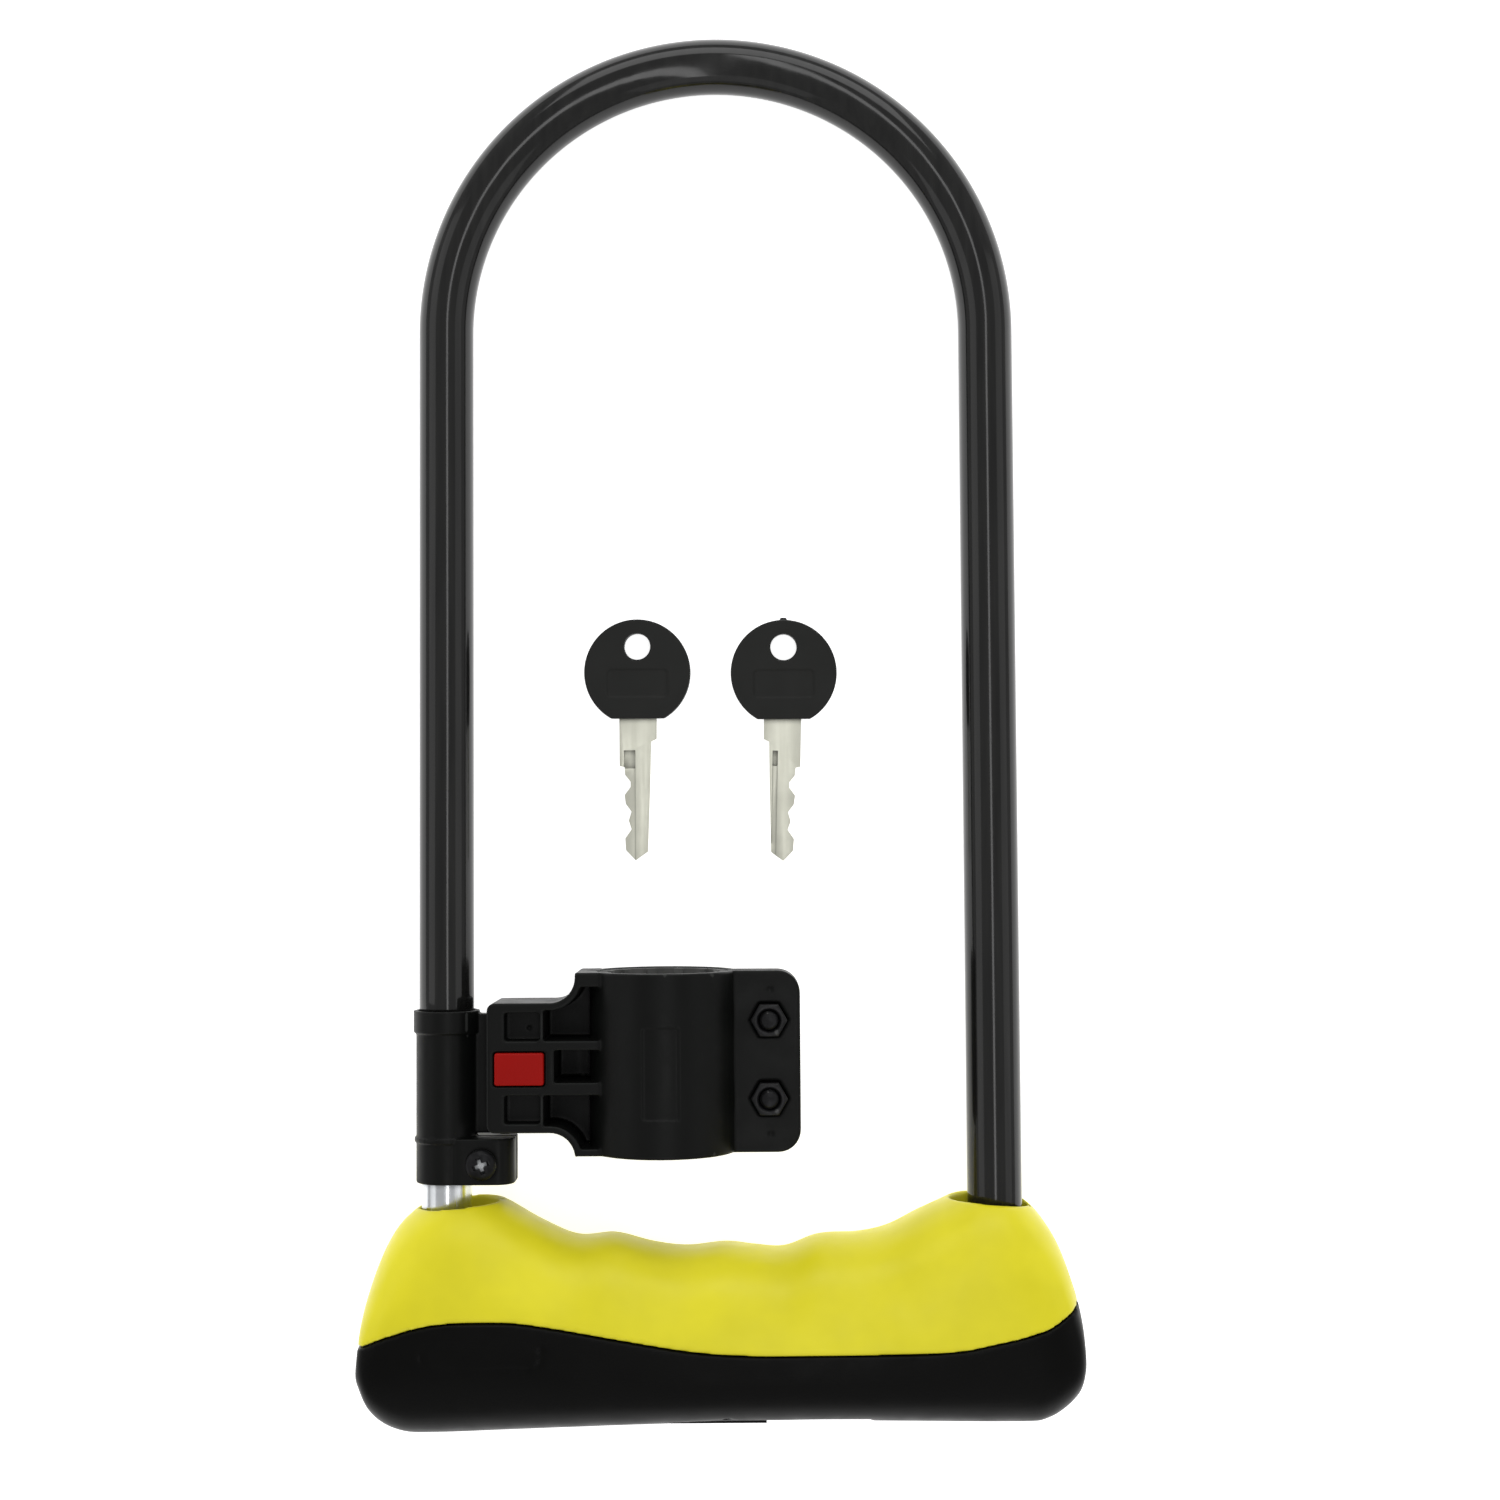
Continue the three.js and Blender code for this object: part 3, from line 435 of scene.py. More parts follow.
BRASS = metal("lock_brass", (0.72, 0.55, 0.26), (0.55, 0.4, 0.18), 0.28, (0.06, 1, 1))
OXIDE = black_oxide()
RUBBER = rubber()

SLOT_MATERIALS = {
    "yellow_shell": YELLOW,
    "black_plastic": BLACK,
    "gloss_sleeve": SLEEVE,
    "red_button": RED,
    "grip_rubber": RUBBER,
    "bare_steel": STEEL,
    "black_steel": OXIDE,
    "lock_brass": BRASS,
    "key_nickel": NICKEL,
}


def finish_cad_nodes():
    """Every CAD node that stays in view takes the material of its slot."""
    for entry in frame["record"]["subparts"]:
        slots = frame["nodes"][entry["node"]].data.materials
        slots.clear()
        slots.append(SLOT_MATERIALS[entry["material_slot"]])


# ---- Crossbar covers ----

HALF_LENGTH = 96.4
HALF_DEPTH = 22.3
SQUARENESS = 2.35  # power of the covers' cross-section: 2 is an ellipse, more is squarer
END_POWER = 9  # how suddenly the covers' depth closes in at the two ends
END_Y = -5
TUBE_R = 16  # the steel tube inside the covers
RIM_Y = 36.3  # height of the collars round the leg holes
RIM_SLOPE = math.radians(5)
LEG_HOLES = (-70.4, 72.8)  # not quite the legs' own places: the rims are uneven in the photo
LEG_HOLE_R = 10.9
SCREW = {"radius": 1.5, "head": 1.4}  # the two screws from below that hold the covers together

# The crossbar's outline from end to end, above and below, and the line where its two covers meet.
TOP_LINE = [
    (-HALF_LENGTH, END_Y), (-95.8, 1), (-95, 9), (-92.9, 17), (-89.3, 26), (-84.7, 32.5), (-76.5, 38),
    (-66.7, 39.6), (-58.7, 37), (-48.7, 31.3), (-38.7, 27.1), (-28.7, 27.6), (-18.7, 25.1), (-9.2, 23.9),
    (1.3, 24.9), (9.3, 24), (17.3, 23.6), (26.3, 26.8), (37.3, 27.4), (45.3, 29.2), (53.3, 33.2),
    (61.3, 36.8), (69.3, 40.6), (77.3, 40), (84.3, 34), (89.8, 26), (93.3, 17), (95.4, 9), (96.1, 1),
    (HALF_LENGTH, END_Y),
]
BOTTOM_LINE = [
    (-HALF_LENGTH, END_Y), (-96.2, -10), (-93.3, -18.5), (-86.2, -23.4), (-74.7, -24.2), (-38.7, -22.9),
    (1.3, -21.8), (35, -21.7), (77, -22.4), (87.3, -21.3), (94.5, -15.5), (96.1, -10), (HALF_LENGTH, END_Y),
]
PARTING_LINE = [
    (-110, -3), (-94.7, 1.2), (-87.7, 4.1), (-74.7, 7.6), (-56.7, 8.1), (-44.7, 6.7), (-26.7, 3.5),
    (-8.7, 0.5), (5.3, -0.7), (21.3, -0.9), (57.3, -0.4), (71.3, 1.6), (84.3, 4.8), (91, 8.6), (96, 11.5),
    (110, 17),
]


def smooth_line(points, steps=24):
    """Points of a Catmull-Rom curve through the given ones."""
    padded = [points[0], *points, points[-1]]
    line = []
    for a, b, c, d in zip(padded, padded[1:], padded[2:], padded[3:]):
        for i in range(steps):
            t = i / steps
            line.append(tuple(
                0.5 * (2 * b[k] + (c[k] - a[k]) * t + (2 * a[k] - 5 * b[k] + 4 * c[k] - d[k]) * t**2
                       + (3 * b[k] - a[k] - 3 * c[k] + d[k]) * t**3)
                for k in range(2)
            ))
    return [*line, points[-1]]


def height_along(points):
    """A function that gives the height of the smooth line at any x."""
    line = smooth_line(points)

    def height(x):
        for (x0, y0), (x1, y1) in zip(line, line[1:]):
            if x1 >= x:
                return y0 + (y1 - y0) * (x - x0) / max(x1 - x0, 1e-9)
        return line[-1][1]

    return height


def crossbar_hull(stations=150, around=96):
    """The outside of both covers: a rounded section at each station along x."""
    top_at, bottom_at = height_along(TOP_LINE), height_along(BOTTOM_LINE)
    vertices = [(-HALF_LENGTH, END_Y, 0)]
    for i in range(1, stations):
        x = -HALF_LENGTH * math.cos(math.pi * i / stations)
        top, bottom = top_at(x), bottom_at(x)
        depth = HALF_DEPTH * (1 - abs(x / HALF_LENGTH) ** END_POWER) ** (1 / END_POWER)
        for j in range(around):
            c, s = math.cos(TURN * j / around), math.sin(TURN * j / around)
            z = math.copysign(abs(c) ** (2 / SQUARENESS), c) * depth
            up = math.copysign(abs(s) ** (2 / SQUARENESS), s)
            vertices.append((x, (top + bottom) / 2 + up * (top - bottom) / 2, z))
    vertices.append((HALF_LENGTH, END_Y, 0))

    def at(i, j):
        return 1 + (i - 1) * around + j % around

    last = len(vertices) - 1
    faces = []
    for j in range(around):
        faces.append((0, at(1, j), at(1, j + 1)))
        faces.append((last, at(stations - 1, j + 1), at(stations - 1, j)))
        faces += [(at(i, j), at(i + 1, j), at(i + 1, j + 1), at(i, j + 1)) for i in range(1, stations - 1)]
    return mesh_of(vertices, faces)


def parting_side(side):
    """Everything above the parting surface (side 1) or below it (side -1)."""
    line = [(x, y + side * GAP / 2) for x, y in smooth_line(PARTING_LINE, 8)]
    far = side * 2 * REACH
    return plate([*line, (line[-1][0], far), (line[0][0], far)], (-REACH, REACH))


def above_rim(hole):
    """The space that cuts the collar round a leg hole off flat, sloping down outwards."""
    space = block((-16, 16), (0, 20), (-REACH, REACH))
    slope = Matrix.Rotation(-math.copysign(RIM_SLOPE, hole), 4, "Z")
    return moved(space, Matrix.Translation((hole, RIM_Y, 0)) @ slope)


def cover_screw_holes():
    holes = []
    for node in ("cover_screw_left", "cover_screw_right"):
        low, high = lock_box(node)
        middle = (low + high) / 2
        head_r = (high.x - low.x) / 2 + GAP
        seat = low.y + SCREW["head"] + 0.2
        holes.append(rod("y", head_r, (-REACH, seat), (middle.x, middle.z), 48))
        holes.append(rod("y", SCREW["radius"] + GAP, (-REACH, high.y + GAP), (middle.x, middle.z), 32))
    return holes


def tube_space():
    reach = lock_box("crossbar_tube")[1].x + GAP
    return rod("x", TUBE_R + GAP, (-reach, reach), (0, 0))


def upper_cover():
    shell = common(crossbar_hull(), parting_side(1))
    holes = [rod("y", LEG_HOLE_R, (5, 2 * REACH), (x, 0), 96) for x in LEG_HOLES]
    rims = [above_rim(x) for x in LEG_HOLES]
    shell = cut(shell, tube_space(), *rims, *holes, *cover_screw_holes())
    add_piece(
        "grip_shell", moulded(shell, 0.62, 8), YELLOW,
        body="crossbar", replaces=["upper_cover"], sharp_angle=75,
    )


# The dust cover's track: its ends in x, its half widths in z, and its heights in y.
TRACK = {"left": -14, "right": 40, "half": 8, "lip": 10, "pad": -21.4, "lip_top": -20.6, "floor": -19.2}


def dust_track():
    """The flat and the undercut recess below the crossbar that the dust cover slides in."""
    xs = (TRACK["left"], TRACK["right"])
    mouth = block(xs, (-REACH, TRACK["floor"]), (-TRACK["half"], TRACK["half"]))
    groove = block(xs, (TRACK["lip_top"], TRACK["floor"]), (-TRACK["lip"], TRACK["lip"]))
    pad = block((xs[0] - 4, xs[1] + 4), (-REACH, TRACK["pad"]), (-14, 14))
    return [mouth, groove, pad]


def label_groove():
    """The shallow obround line that frames the blank label on the front of the lower cover."""
    xs, ys = (-78.4, -46), (-4.2, 3.6)
    wide = 0.9
    bottom = HALF_DEPTH - 1.9
    outer = rounded_rectangle(xs, ys, (ys[1] - ys[0]) / 2 - 0.01)
    inner = rounded_rectangle((xs[0] + wide, xs[1] - wide), (ys[0] + wide, ys[1] - wide), 2.9)
    return cut(plate(outer, (bottom, REACH)), plate(inner, (bottom - 1, REACH + 1)))


def lower_cover():
    low, high = lock_box("cylinder_body")
    radius = (high.x - low.x) / 2 + GAP
    bore = rod("y", radius, (TRACK["floor"] - 0.01, 0), (0, (low.z + high.z) / 2))
    shell = common(crossbar_hull(), parting_side(-1))
    shell = cut(shell, tube_space(), *dust_track(), bore, *cover_screw_holes(), label_groove())
    add_piece(
        "base_shell", moulded(shell, 0.55, 4), BLACK,
        body="crossbar", replaces=["lower_cover"], sharp_angle=75,
    )


def dust_cover():
    """The slider over the keyway, with four finger grooves."""
    low, high = lock_box("dust_cover")
    outer = block((low.x, high.x), (low.y, high.y), (-TRACK["half"] + GAP, TRACK["half"] - GAP))
    inner = block((low.x, high.x), (TRACK["lip_top"] + GAP, high.y), (low.z, high.z))
    pitch, wide, deep = 2, 1, 0.5
    starts = [high.x - 3.6 - pitch * i for i in range(4)]
    grooves = [block((x, x + wide), (-REACH, low.y + deep), (-5.6, 5.6)) for x in starts]
    shape = cut(join(outer, inner), *grooves)
    add_piece(
        "keyway_shutter", bevelled(shape, 0.18), BLACK,
        body="dust_cover", replaces=["dust_cover"],
    )


# ---- Shackle ----

LEG_X = 74  # half the spacing of the legs
LEG_TOP = 273  # where the legs end and the bend starts
BAR_R = 6.75
SLEEVE_R = 7.4
SLEEVE_BORE_R = 7.05


def bow_line(left_end, right_end, bend_steps=128, leg_steps=24):
    """Points and directions along the U's centre line, from the left foot to the right one."""
    line = []
    for i in range(leg_steps):
        line.append(((-LEG_X, left_end + (LEG_TOP - left_end) * i / leg_steps), (0, 1)))
    for i in range(bend_steps + 1):
        angle = math.pi * (1 - i / bend_steps)
        c, s = math.cos(angle), math.sin(angle)
        line.append(((LEG_X * c, LEG_TOP + LEG_X * s), (s, -c)))
    for i in range(1, leg_steps + 1):
        line.append(((LEG_X, LEG_TOP + (right_end - LEG_TOP) * i / leg_steps), (0, -1)))
    return line


def ring_at(place, direction, radius, back=0.0, around=64):
    """A ring of points about the centre line, moved back along it."""
    (x, y), (dx, dy) = place, direction
    ring = []
    for j in range(around):
        side, up = radius * math.cos(TURN * j / around), radius * math.sin(TURN * j / around)
        ring.append((x + side * dy + back * dx, y - side * dx + back * dy, up))
    return ring


def rings_mesh(rings, closed):
    """A skin over a row of rings: closed joins the last to the first, otherwise the ends are capped."""
    around = len(rings[0])
    vertices = [point for ring in rings for point in ring]
    faces = []
    for i in range(len(rings) if closed else len(rings) - 1):
        k = (i + 1) % len(rings)
        for j in range(around):
            n = (j + 1) % around
            faces.append((i * around + j, i * around + n, k * around + n, k * around + j))
    if not closed:
        faces.append(tuple(range(around)))
        faces.append(tuple(range((len(rings) - 1) * around, len(rings) * around)))
    return mesh_of(vertices, faces)


def sleeve():
    """The sleeve, from under the collar's flange round the bend and into the right leg's hole."""
    left = lock_box("bracket_collar")[1].y - 4
    right = TUBE_R + 4
    line = bow_line(left, right)
    outer = [ring_at(*spot, SLEEVE_R) for spot in line]
    inner = [ring_at(*spot, SLEEVE_BORE_R) for spot in reversed(line)]
    lip, lip_r = 0.15, (SLEEVE_R + SLEEVE_BORE_R) / 2
    right_lip = ring_at(*line[-1], lip_r, lip)
    left_lip = ring_at(*line[0], lip_r, -lip)
    add_piece(
        "vinyl_sleeve", rings_mesh([*outer, right_lip, *inner, left_lip], closed=True), SLEEVE,
        body="shackle", replaces=["shackle_sleeve"], sharp_angle=50,
    )


def bar():
    """The steel bar, its two feet chamfered and notched for the bolts."""
    foot = lock_box("shackle_bar")[0].y
    chamfer = 1
    line = bow_line(foot + chamfer, foot + chamfer, bend_steps=96)
    left_end = ring_at(*line[0], BAR_R - chamfer, -chamfer)
    right_end = ring_at(*line[-1], BAR_R - chamfer, chamfer)
    shape = rings_mesh([left_end, *(ring_at(*spot, BAR_R) for spot in line), right_end], closed=False)
    low, high = lock_box("lock_bolt_left")
    heights = (low.y - 2 * GAP, high.y + 2 * GAP)
    deep = 6.2
    floor = LEG_X - BAR_R + deep
    notches = [block(xs, heights, (-9, 9)) for xs in ((-floor, -50), (50, floor))]
    add_piece(
        "steel_bow", cut(shape, *notches), STEEL,
        body="shackle", replaces=["shackle_bar"], sharp_angle=35,
    )


# ---- Collar on the left leg, with its pinch screw ----

COLLAR = {"radius": 8.2, "bead": 8.65, "flange": 8.9, "flange_y": 82, "lug_y": 54}
RAIL = {"neck": 2.2, "head": 5, "from": -67, "step": -59.2, "to": -56.2, "ys": (55, 87)}
PINCH = {"half": 8.2, "hole": 2.3, "screw": 2}


def collar():
    """The collar with its split clamp lug below and the rail that carries the bracket."""
    low, high = lock_box("bracket_collar")
    lug_top, flange = COLLAR["lug_y"], COLLAR["flange_y"]
    leg = (-LEG_X, 0)
    body = rod("y", COLLAR["radius"], (low.y, high.y - 0.4), leg, 96)
    rim = rod("y", COLLAR["flange"], (flange, high.y), leg, 96)
    foot = rod("y", PINCH["half"], (low.y, lug_top), leg, 96)
    lug_outline = rounded_rectangle((-LEG_X, high.x), (-PINCH["half"], PINCH["half"]), 4.6)
    lug = moved(plate(lug_outline, (-lug_top, -low.y)), Matrix.Rotation(math.pi / 2, 4, "X"))
    bead = rod("y", COLLAR["bead"], (lug_top - 1.2, lug_top), leg, 96)
    neck = block((RAIL["from"], RAIL["step"] + 0.1), RAIL["ys"], (-RAIL["neck"], RAIL["neck"]))
    head = block((RAIL["step"], RAIL["to"]), RAIL["ys"], (-RAIL["head"], RAIL["head"]))
    split = block((-LEG_X + 3, -50), (30, lug_top + 0.5), (-0.6, 0.6))
    screw = lock_middle("collar_screw")
    nut_recess = rod("z", 4.5, (-PINCH["half"] - 1, -PINCH["half"] + 2), (screw.x, screw.y), 6)
    seat = rod("z", 4.6, (PINCH["half"] - 0.1, 20), (screw.x, screw.y))
    shape = cut(
        join(body, rim, foot, lug, bead, neck, head),
        rod("y", BAR_R + GAP, (0, flange + 1), leg, 72),
        rod("y", SLEEVE_R + 0.35, (flange, 100), leg, 72),
        split,
        rod("z", PINCH["hole"], (-12, 12), (screw.x, screw.y), 48),
        nut_recess,
        seat,
    )
    add_piece(
        "leg_collar", moulded(shape, 0.3, 4), BRACKET_BLACK,
        body="collar", replaces=["bracket_collar"], sharp_angle=75,
    )


def dome_profile(radius, base, rise, steps=8):
    """The rounded top of a pan head, from its rim to the axis."""
    return [
        (radius * math.cos(i / steps * math.pi / 2), base + rise * math.sin(i / steps * math.pi / 2))
        for i in range(steps)
    ] + [(0, base + rise)]


def cross_slot(size, zs):
    """Two tapered blades crossing: the recess of a cross-head screw."""
    low, high = zs
    wide, half = size * 1.15, 0.62
    askew = math.radians(20)
    blades = []
    for turn in (askew, askew + math.pi / 2):
        blade = plate([(-size, low), (-wide, high), (wide, high), (size, low)], (-half, half))
        upright = Matrix.Rotation(turn, 4, "Z") @ Matrix.Rotation(math.pi / 2, 4, "X")
        blades.append(moved(blade, upright))
    return blades


def collar_screw():
    """The pan-head pinch screw, with a bright steel cross in its slot: a painted glint for light caught in the
    cross, partly also bare metal where a driver has scraped it.
    """
    low, high = lock_box("collar_screw")
    middle = (low + high) / 2
    head_r = (high.x - low.x) / 2
    radius, under = PINCH["screw"], PINCH["half"] + 0.15
    profile = [(0, low.z), (radius - 0.4, low.z), (radius, low.z + 0.5), (radius, under), (head_r, under)]
    profile += dome_profile(head_r, under + 0.9, high.z - under - 0.9)
    head = bevelled(cut(lathe(profile), *cross_slot(2.15, (high.z - 1.7, high.z + 1))), 0.12, 2)
    add_piece(
        "pinch_screw", shifted(head, middle.x, middle.y, 0), OXIDE,
        body="collar", replaces=["collar_screw"], sharp_angle=45,
    )
    # painted glint: a thin bright steel cross at the slot's floor, partly also bare metal scraped by a driver
    wear_and_highlight = join(*cross_slot(1.4, (high.z - 1.85, high.z - 1.5)))
    add_piece(
        "pinch_screw_cross", shifted(wear_and_highlight, middle.x, middle.y, 0), STEEL, body="collar",
    )


def hex_nut(across_corners, height, hole):
    """A nut with chamfered corners on both faces, standing on z = 0."""
    corner, mouth, chamfer = across_corners / 2, hole + 0.5, 0.55
    flat = corner * math.cos(math.pi / 6) * 0.96
    past = corner + 0.15
    prism = rod("z", corner, (0, height), (0, 0), 6)
    dome = lathe([
        (0, 0), (flat, 0), (past, chamfer), (past, height - chamfer), (flat, height), (0, height),
    ])
    bore = lathe([
        (0, -1), (mouth, -1), (mouth, 0), (hole, 0.5),
        (hole, height - 0.5), (mouth, height), (mouth, height + 1), (0, height + 1),
    ])
    return bevelled(cut(common(prism, dome), bore), 0.1, 2)


def collar_nut():
    low, high = lock_box("collar_nut")
    middle = (low + high) / 2
    nut = hex_nut(high.x - low.x, high.z - low.z, 2.05)
    add_piece(
        "pinch_nut", shifted(nut, middle.x, middle.y, low.z), OXIDE,
        body="collar", replaces=["collar_nut"],
    )


# ---- Bracket clamped on a frame tube ----

ARM = {"x": -61.7, "ys": (56.2, 90.5), "half": 11.5, "corner": 2}
RING = {"x": -15.2, "z": 2, "radius": 19.8, "bore": 17.7, "ys": (50, 98.5)}
ARM_MIDDLE = sum(ARM["ys"]) / 2
FILLET = {"x": -45, "radius": 6.7}
EAR = {"x": 21.7, "half": 5.4, "corner": 6}
HOOK = ((-38, -31.5), (62, 86), (-7.5, -4.5))  # the rear half's hook: its span in x, y and z
POCKET = {"inner": 7.2, "outer": 14.7, "shallow": 5}  # y from the arm's middle, and a depth
SPLIT = 0.5  # half the gap between the bracket's two halves
CLEAR = 0.4  # play in the bracket's own slots
BOLT_R = 2.5


def arm_shape():
    """The arm that carries the button: straight at the rail, spreading to the ring's full width."""
    (low, high), (ring_low, ring_high) = ARM["ys"], RING["ys"]
    x, corner, r = ARM["x"], ARM["corner"], FILLET["radius"]
    fillet_x = FILLET["x"]
    upper = arc((fillet_x, high + r), r, -math.pi / 2, 0)
    lower = arc((fillet_x, low - r), r, 0, math.pi / 2)
    outline = arc((x + corner, low + corner), corner, math.pi, 1.5 * math.pi, 6)
    outline += lower[::-1]
    outline += [(fillet_x + r, ring_low), (RING["x"], ring_low)]
    outline += [(RING["x"], ring_high), (fillet_x + r, ring_high)]
    outline += upper[::-1]
    outline += arc((x + corner, high - corner), corner, math.pi / 2, math.pi, 6)
    return plate(outline, (RING["z"] - ARM["half"], RING["z"] + ARM["half"]))


def wide_pocket(side):
    """One of the arm's two deep pockets: side is 1 for the upper and -1 for the lower one."""
    wall = 1.9
    round_r = FILLET["radius"] + wall
    middle_y = ARM["ys"][1] - ARM_MIDDLE + FILLET["radius"]
    left, right, inner = -46.6, -30, POCKET["inner"]
    curve = arc((FILLET["x"], middle_y), round_r, -math.pi / 2, -0.29)
    outline = [(left, inner), (right, inner), (right, curve[-1][1]), *curve[::-1], (left, curve[0][1])]
    return plate([(x, ARM_MIDDLE + side * y) for x, y in outline], (-2, REACH))


def ring_rod(radius, ys=WHOLE_LEG):
    return rod("y", radius, ys, (RING["x"], RING["z"]), 128)


def arm_hollows():
    """The arm's pockets, the opening for the button, and the slot that runs on the collar's rail."""
    middle, inner, outer = ARM_MIDDLE, POCKET["inner"], POCKET["outer"]
    floor = RING["z"] + ARM["half"] - POCKET["shallow"]
    shallow = [
        plate(rounded_rectangle((-57, -47.5), ys, 0.8), (floor, REACH))
        for ys in ((middle + inner, middle + outer), (middle - outer, middle - inner))
    ]
    deep = [wide_pocket(1), wide_pocket(-1)]
    deep.append(plate(rounded_rectangle((-43.8, -30), (middle - 3.9, middle + 4.7), 0.6), (-4, REACH)))
    low, high = lock_box("release_button")
    opening = rounded_rectangle((low.x - 0.35, high.x + 0.35), (low.y - 0.35, high.y + 0.35), 0.9)
    neck, head, step = RAIL["neck"] + CLEAR, RAIL["head"] + CLEAR, RAIL["step"]
    return [
        *shallow,
        *[cut(pocket, ring_rod(RING["radius"])) for pocket in deep],
        plate(opening, (6.3, REACH)),
        block((-70, step + CLEAR), (0, 88), (-neck, neck)),
        block((step - CLEAR, RAIL["to"] + CLEAR), (0, 88), (-head, head)),
    ]


def ear_plate(zs):
    return plate(rounded_rectangle((RING["x"], EAR["x"]), RING["ys"], EAR["corner"]), zs)


def bolt_places():
    return [lock_middle(node) for node in ("clamp_bolt_lower", "clamp_bolt_upper")]


def bolt_holes():
    return [rod("z", BOLT_R + GAP, (-REACH, REACH), (spot.x, spot.y), 48) for spot in bolt_places()]


def nut_seats(face):
    return [rod("z", 5.35, (face - 1.2, REACH), (spot.x, spot.y), 6) for spot in bolt_places()]


def ejector_marks(face):
    """Small round marks left by the mould's ejector pins, on the ear and in a pocket."""
    low, high = RING["ys"]
    floor = RING["z"] + ARM["half"] - POCKET["shallow"]
    marks = [(13.6, low + 5, face), (13.6, high - 5, face), (-50.8, 83.6, floor)]
    return [rod("z", 0.75, (z - 0.45, z + 1), (x, y), 24) for x, y, z in marks]


def name_panel():
    """The space of the blank sunk panel on the front of the ring, where a name plate would be."""
    xs = (RING["x"] - 4.9, RING["x"] + 4.9)
    outline = rounded_rectangle(xs, (60.2, 84.4), 0.8)
    return cut(plate(outline, (RING["z"] + 5, 40)), ring_rod(RING["radius"] - 0.5))


def beside_split(low, high):
    """All the space of the ring and its ear between two values of z."""
    return block((-80, 80), WHOLE_LEG, (low, high))


def clamp_front():
    """The bracket's front half: the arm, half the ring, and the half of the ear with the nuts."""
    split = RING["z"] + SPLIT
    face = RING["z"] + EAR["half"]
    front_half = common(ring_rod(RING["radius"], RING["ys"]), beside_split(split, 40))
    rear_space = common(ring_rod(RING["radius"] + CLEAR), beside_split(-40, split))
    hook_slot = block(*[(low - CLEAR, high + CLEAR) for low, high in HOOK])
    ear = ear_plate((split, face))
    shape = cut(
        join(arm_shape(), front_half, ear),
        *arm_hollows(), rear_space, ring_rod(RING["bore"]), hook_slot,
        *bolt_holes(), *nut_seats(face), *ejector_marks(face), name_panel(),
    )
    add_piece(
        "bracket_front", moulded(shape, 0.34, 4), BRACKET_BLACK,
        body="bracket", replaces=["clamp_front"], sharp_angle=75,
    )


def clamp_rear():
    """The rear half: half the ring, half the ear, and a hook that catches in the arm."""
    split = RING["z"] - SPLIT
    rear_half = common(ring_rod(RING["radius"], RING["ys"]), beside_split(-40, split))
    ear = ear_plate((RING["z"] - EAR["half"], split))
    shape = cut(join(rear_half, ear, block(*HOOK)), ring_rod(RING["bore"]), *bolt_holes())
    add_piece(
        "bracket_rear", moulded(shape, 0.38, 4), BRACKET_BLACK,
        body="bracket", replaces=["clamp_rear"], sharp_angle=75,
    )


PAD = {"radius": 17.4, "bore": 15.4, "rib": 14.2, "ribs": 12}


def clamp_pad(node, side):
    """Half of the ribbed rubber insert in the ring: side is 1 for the front, -1 for the rear."""
    ys = (RING["ys"][0] + 1, RING["ys"][1] - 0.3)
    outside = rod("y", PAD["radius"], ys, (0, 0), 128)
    tube = cut(outside, rod("y", PAD["bore"], WHOLE_LEG, (0, 0), 128))
    ribs = []
    for i in range(PAD["ribs"]):
        rib = block((PAD["rib"], PAD["bore"] + 0.4), ys, (-1.3, 1.3))
        ribs.append(moved(rib, Matrix.Rotation((i + 0.5) / PAD["ribs"] * TURN, 4, "Y")))
    half = beside_split(SPLIT, 40) if side > 0 else beside_split(-40, -SPLIT)
    shape = bevelled(common(join(tube, *ribs), half), 0.35, 3, 45)
    add_piece(
        node.replace("clamp_pad", "ribbed_insert"), shifted(shape, RING["x"], 0, RING["z"]), RUBBER,
        body="bracket", replaces=[node],
    )


def clamp_bolt(which):
    """A bolt with a socket in its head and four thread grooves near its end."""
    spot = lock_middle(f"clamp_bolt_{which}")
    low, high = lock_box(f"clamp_bolt_{which}")
    seat = RING["z"] - EAR["half"] - GAP
    head_r = (high.x - low.x) / 2
    profile = [
        (0, low.z), (head_r - 0.5, low.z), (head_r, low.z + 0.5), (head_r, seat), (BOLT_R, seat),
        (BOLT_R, high.z - 0.7), (BOLT_R - 0.6, high.z), (0, high.z),
    ]
    socket = rod("z", 2.3, (low.z - 1, low.z + 1.9), (0, 0), 6)
    grooves = [
        cut(rod("z", 3, (z - 0.2, z + 0.2), (0, 0), 48), rod("z", 2.25, (z - 1, z + 1), (0, 0), 48))
        for z in [seat + 11 + 0.8 * i for i in range(4)]
    ]
    bolt = bevelled(cut(lathe(profile, 96), socket, *grooves), 0.08, 2)
    add_piece(
        f"bracket_bolt_{which}", shifted(bolt, spot.x, spot.y, 0), OXIDE,
        body="bracket", replaces=[f"clamp_bolt_{which}"],
    )


def clamp_nut(which):
    spot = lock_middle(f"clamp_bolt_{which}")
    low, high = lock_box(f"clamp_nut_{which}")
    nut = hex_nut(9.8, high.z - low.z, BOLT_R + GAP)
    add_piece(
        f"bracket_nut_{which}", shifted(nut, spot.x, spot.y, low.z), OXIDE,
        body="bracket", replaces=[f"clamp_nut_{which}"],
    )


def clamp_fasteners():
    for which in ("lower", "upper"):
        clamp_bolt(which)
        clamp_nut(which)


def release_button():
    low, high = lock_box("release_button")
    outline = rounded_rectangle((low.x, high.x), (low.y, high.y), 0.7)
    cap = bevelled(plate(outline, (low.z, high.z)), 0.55, 4, 60)
    add_piece(
        "push_button", cap, RED,
        body="release_button", replaces=["release_button"], sharp_angle=60,
    )


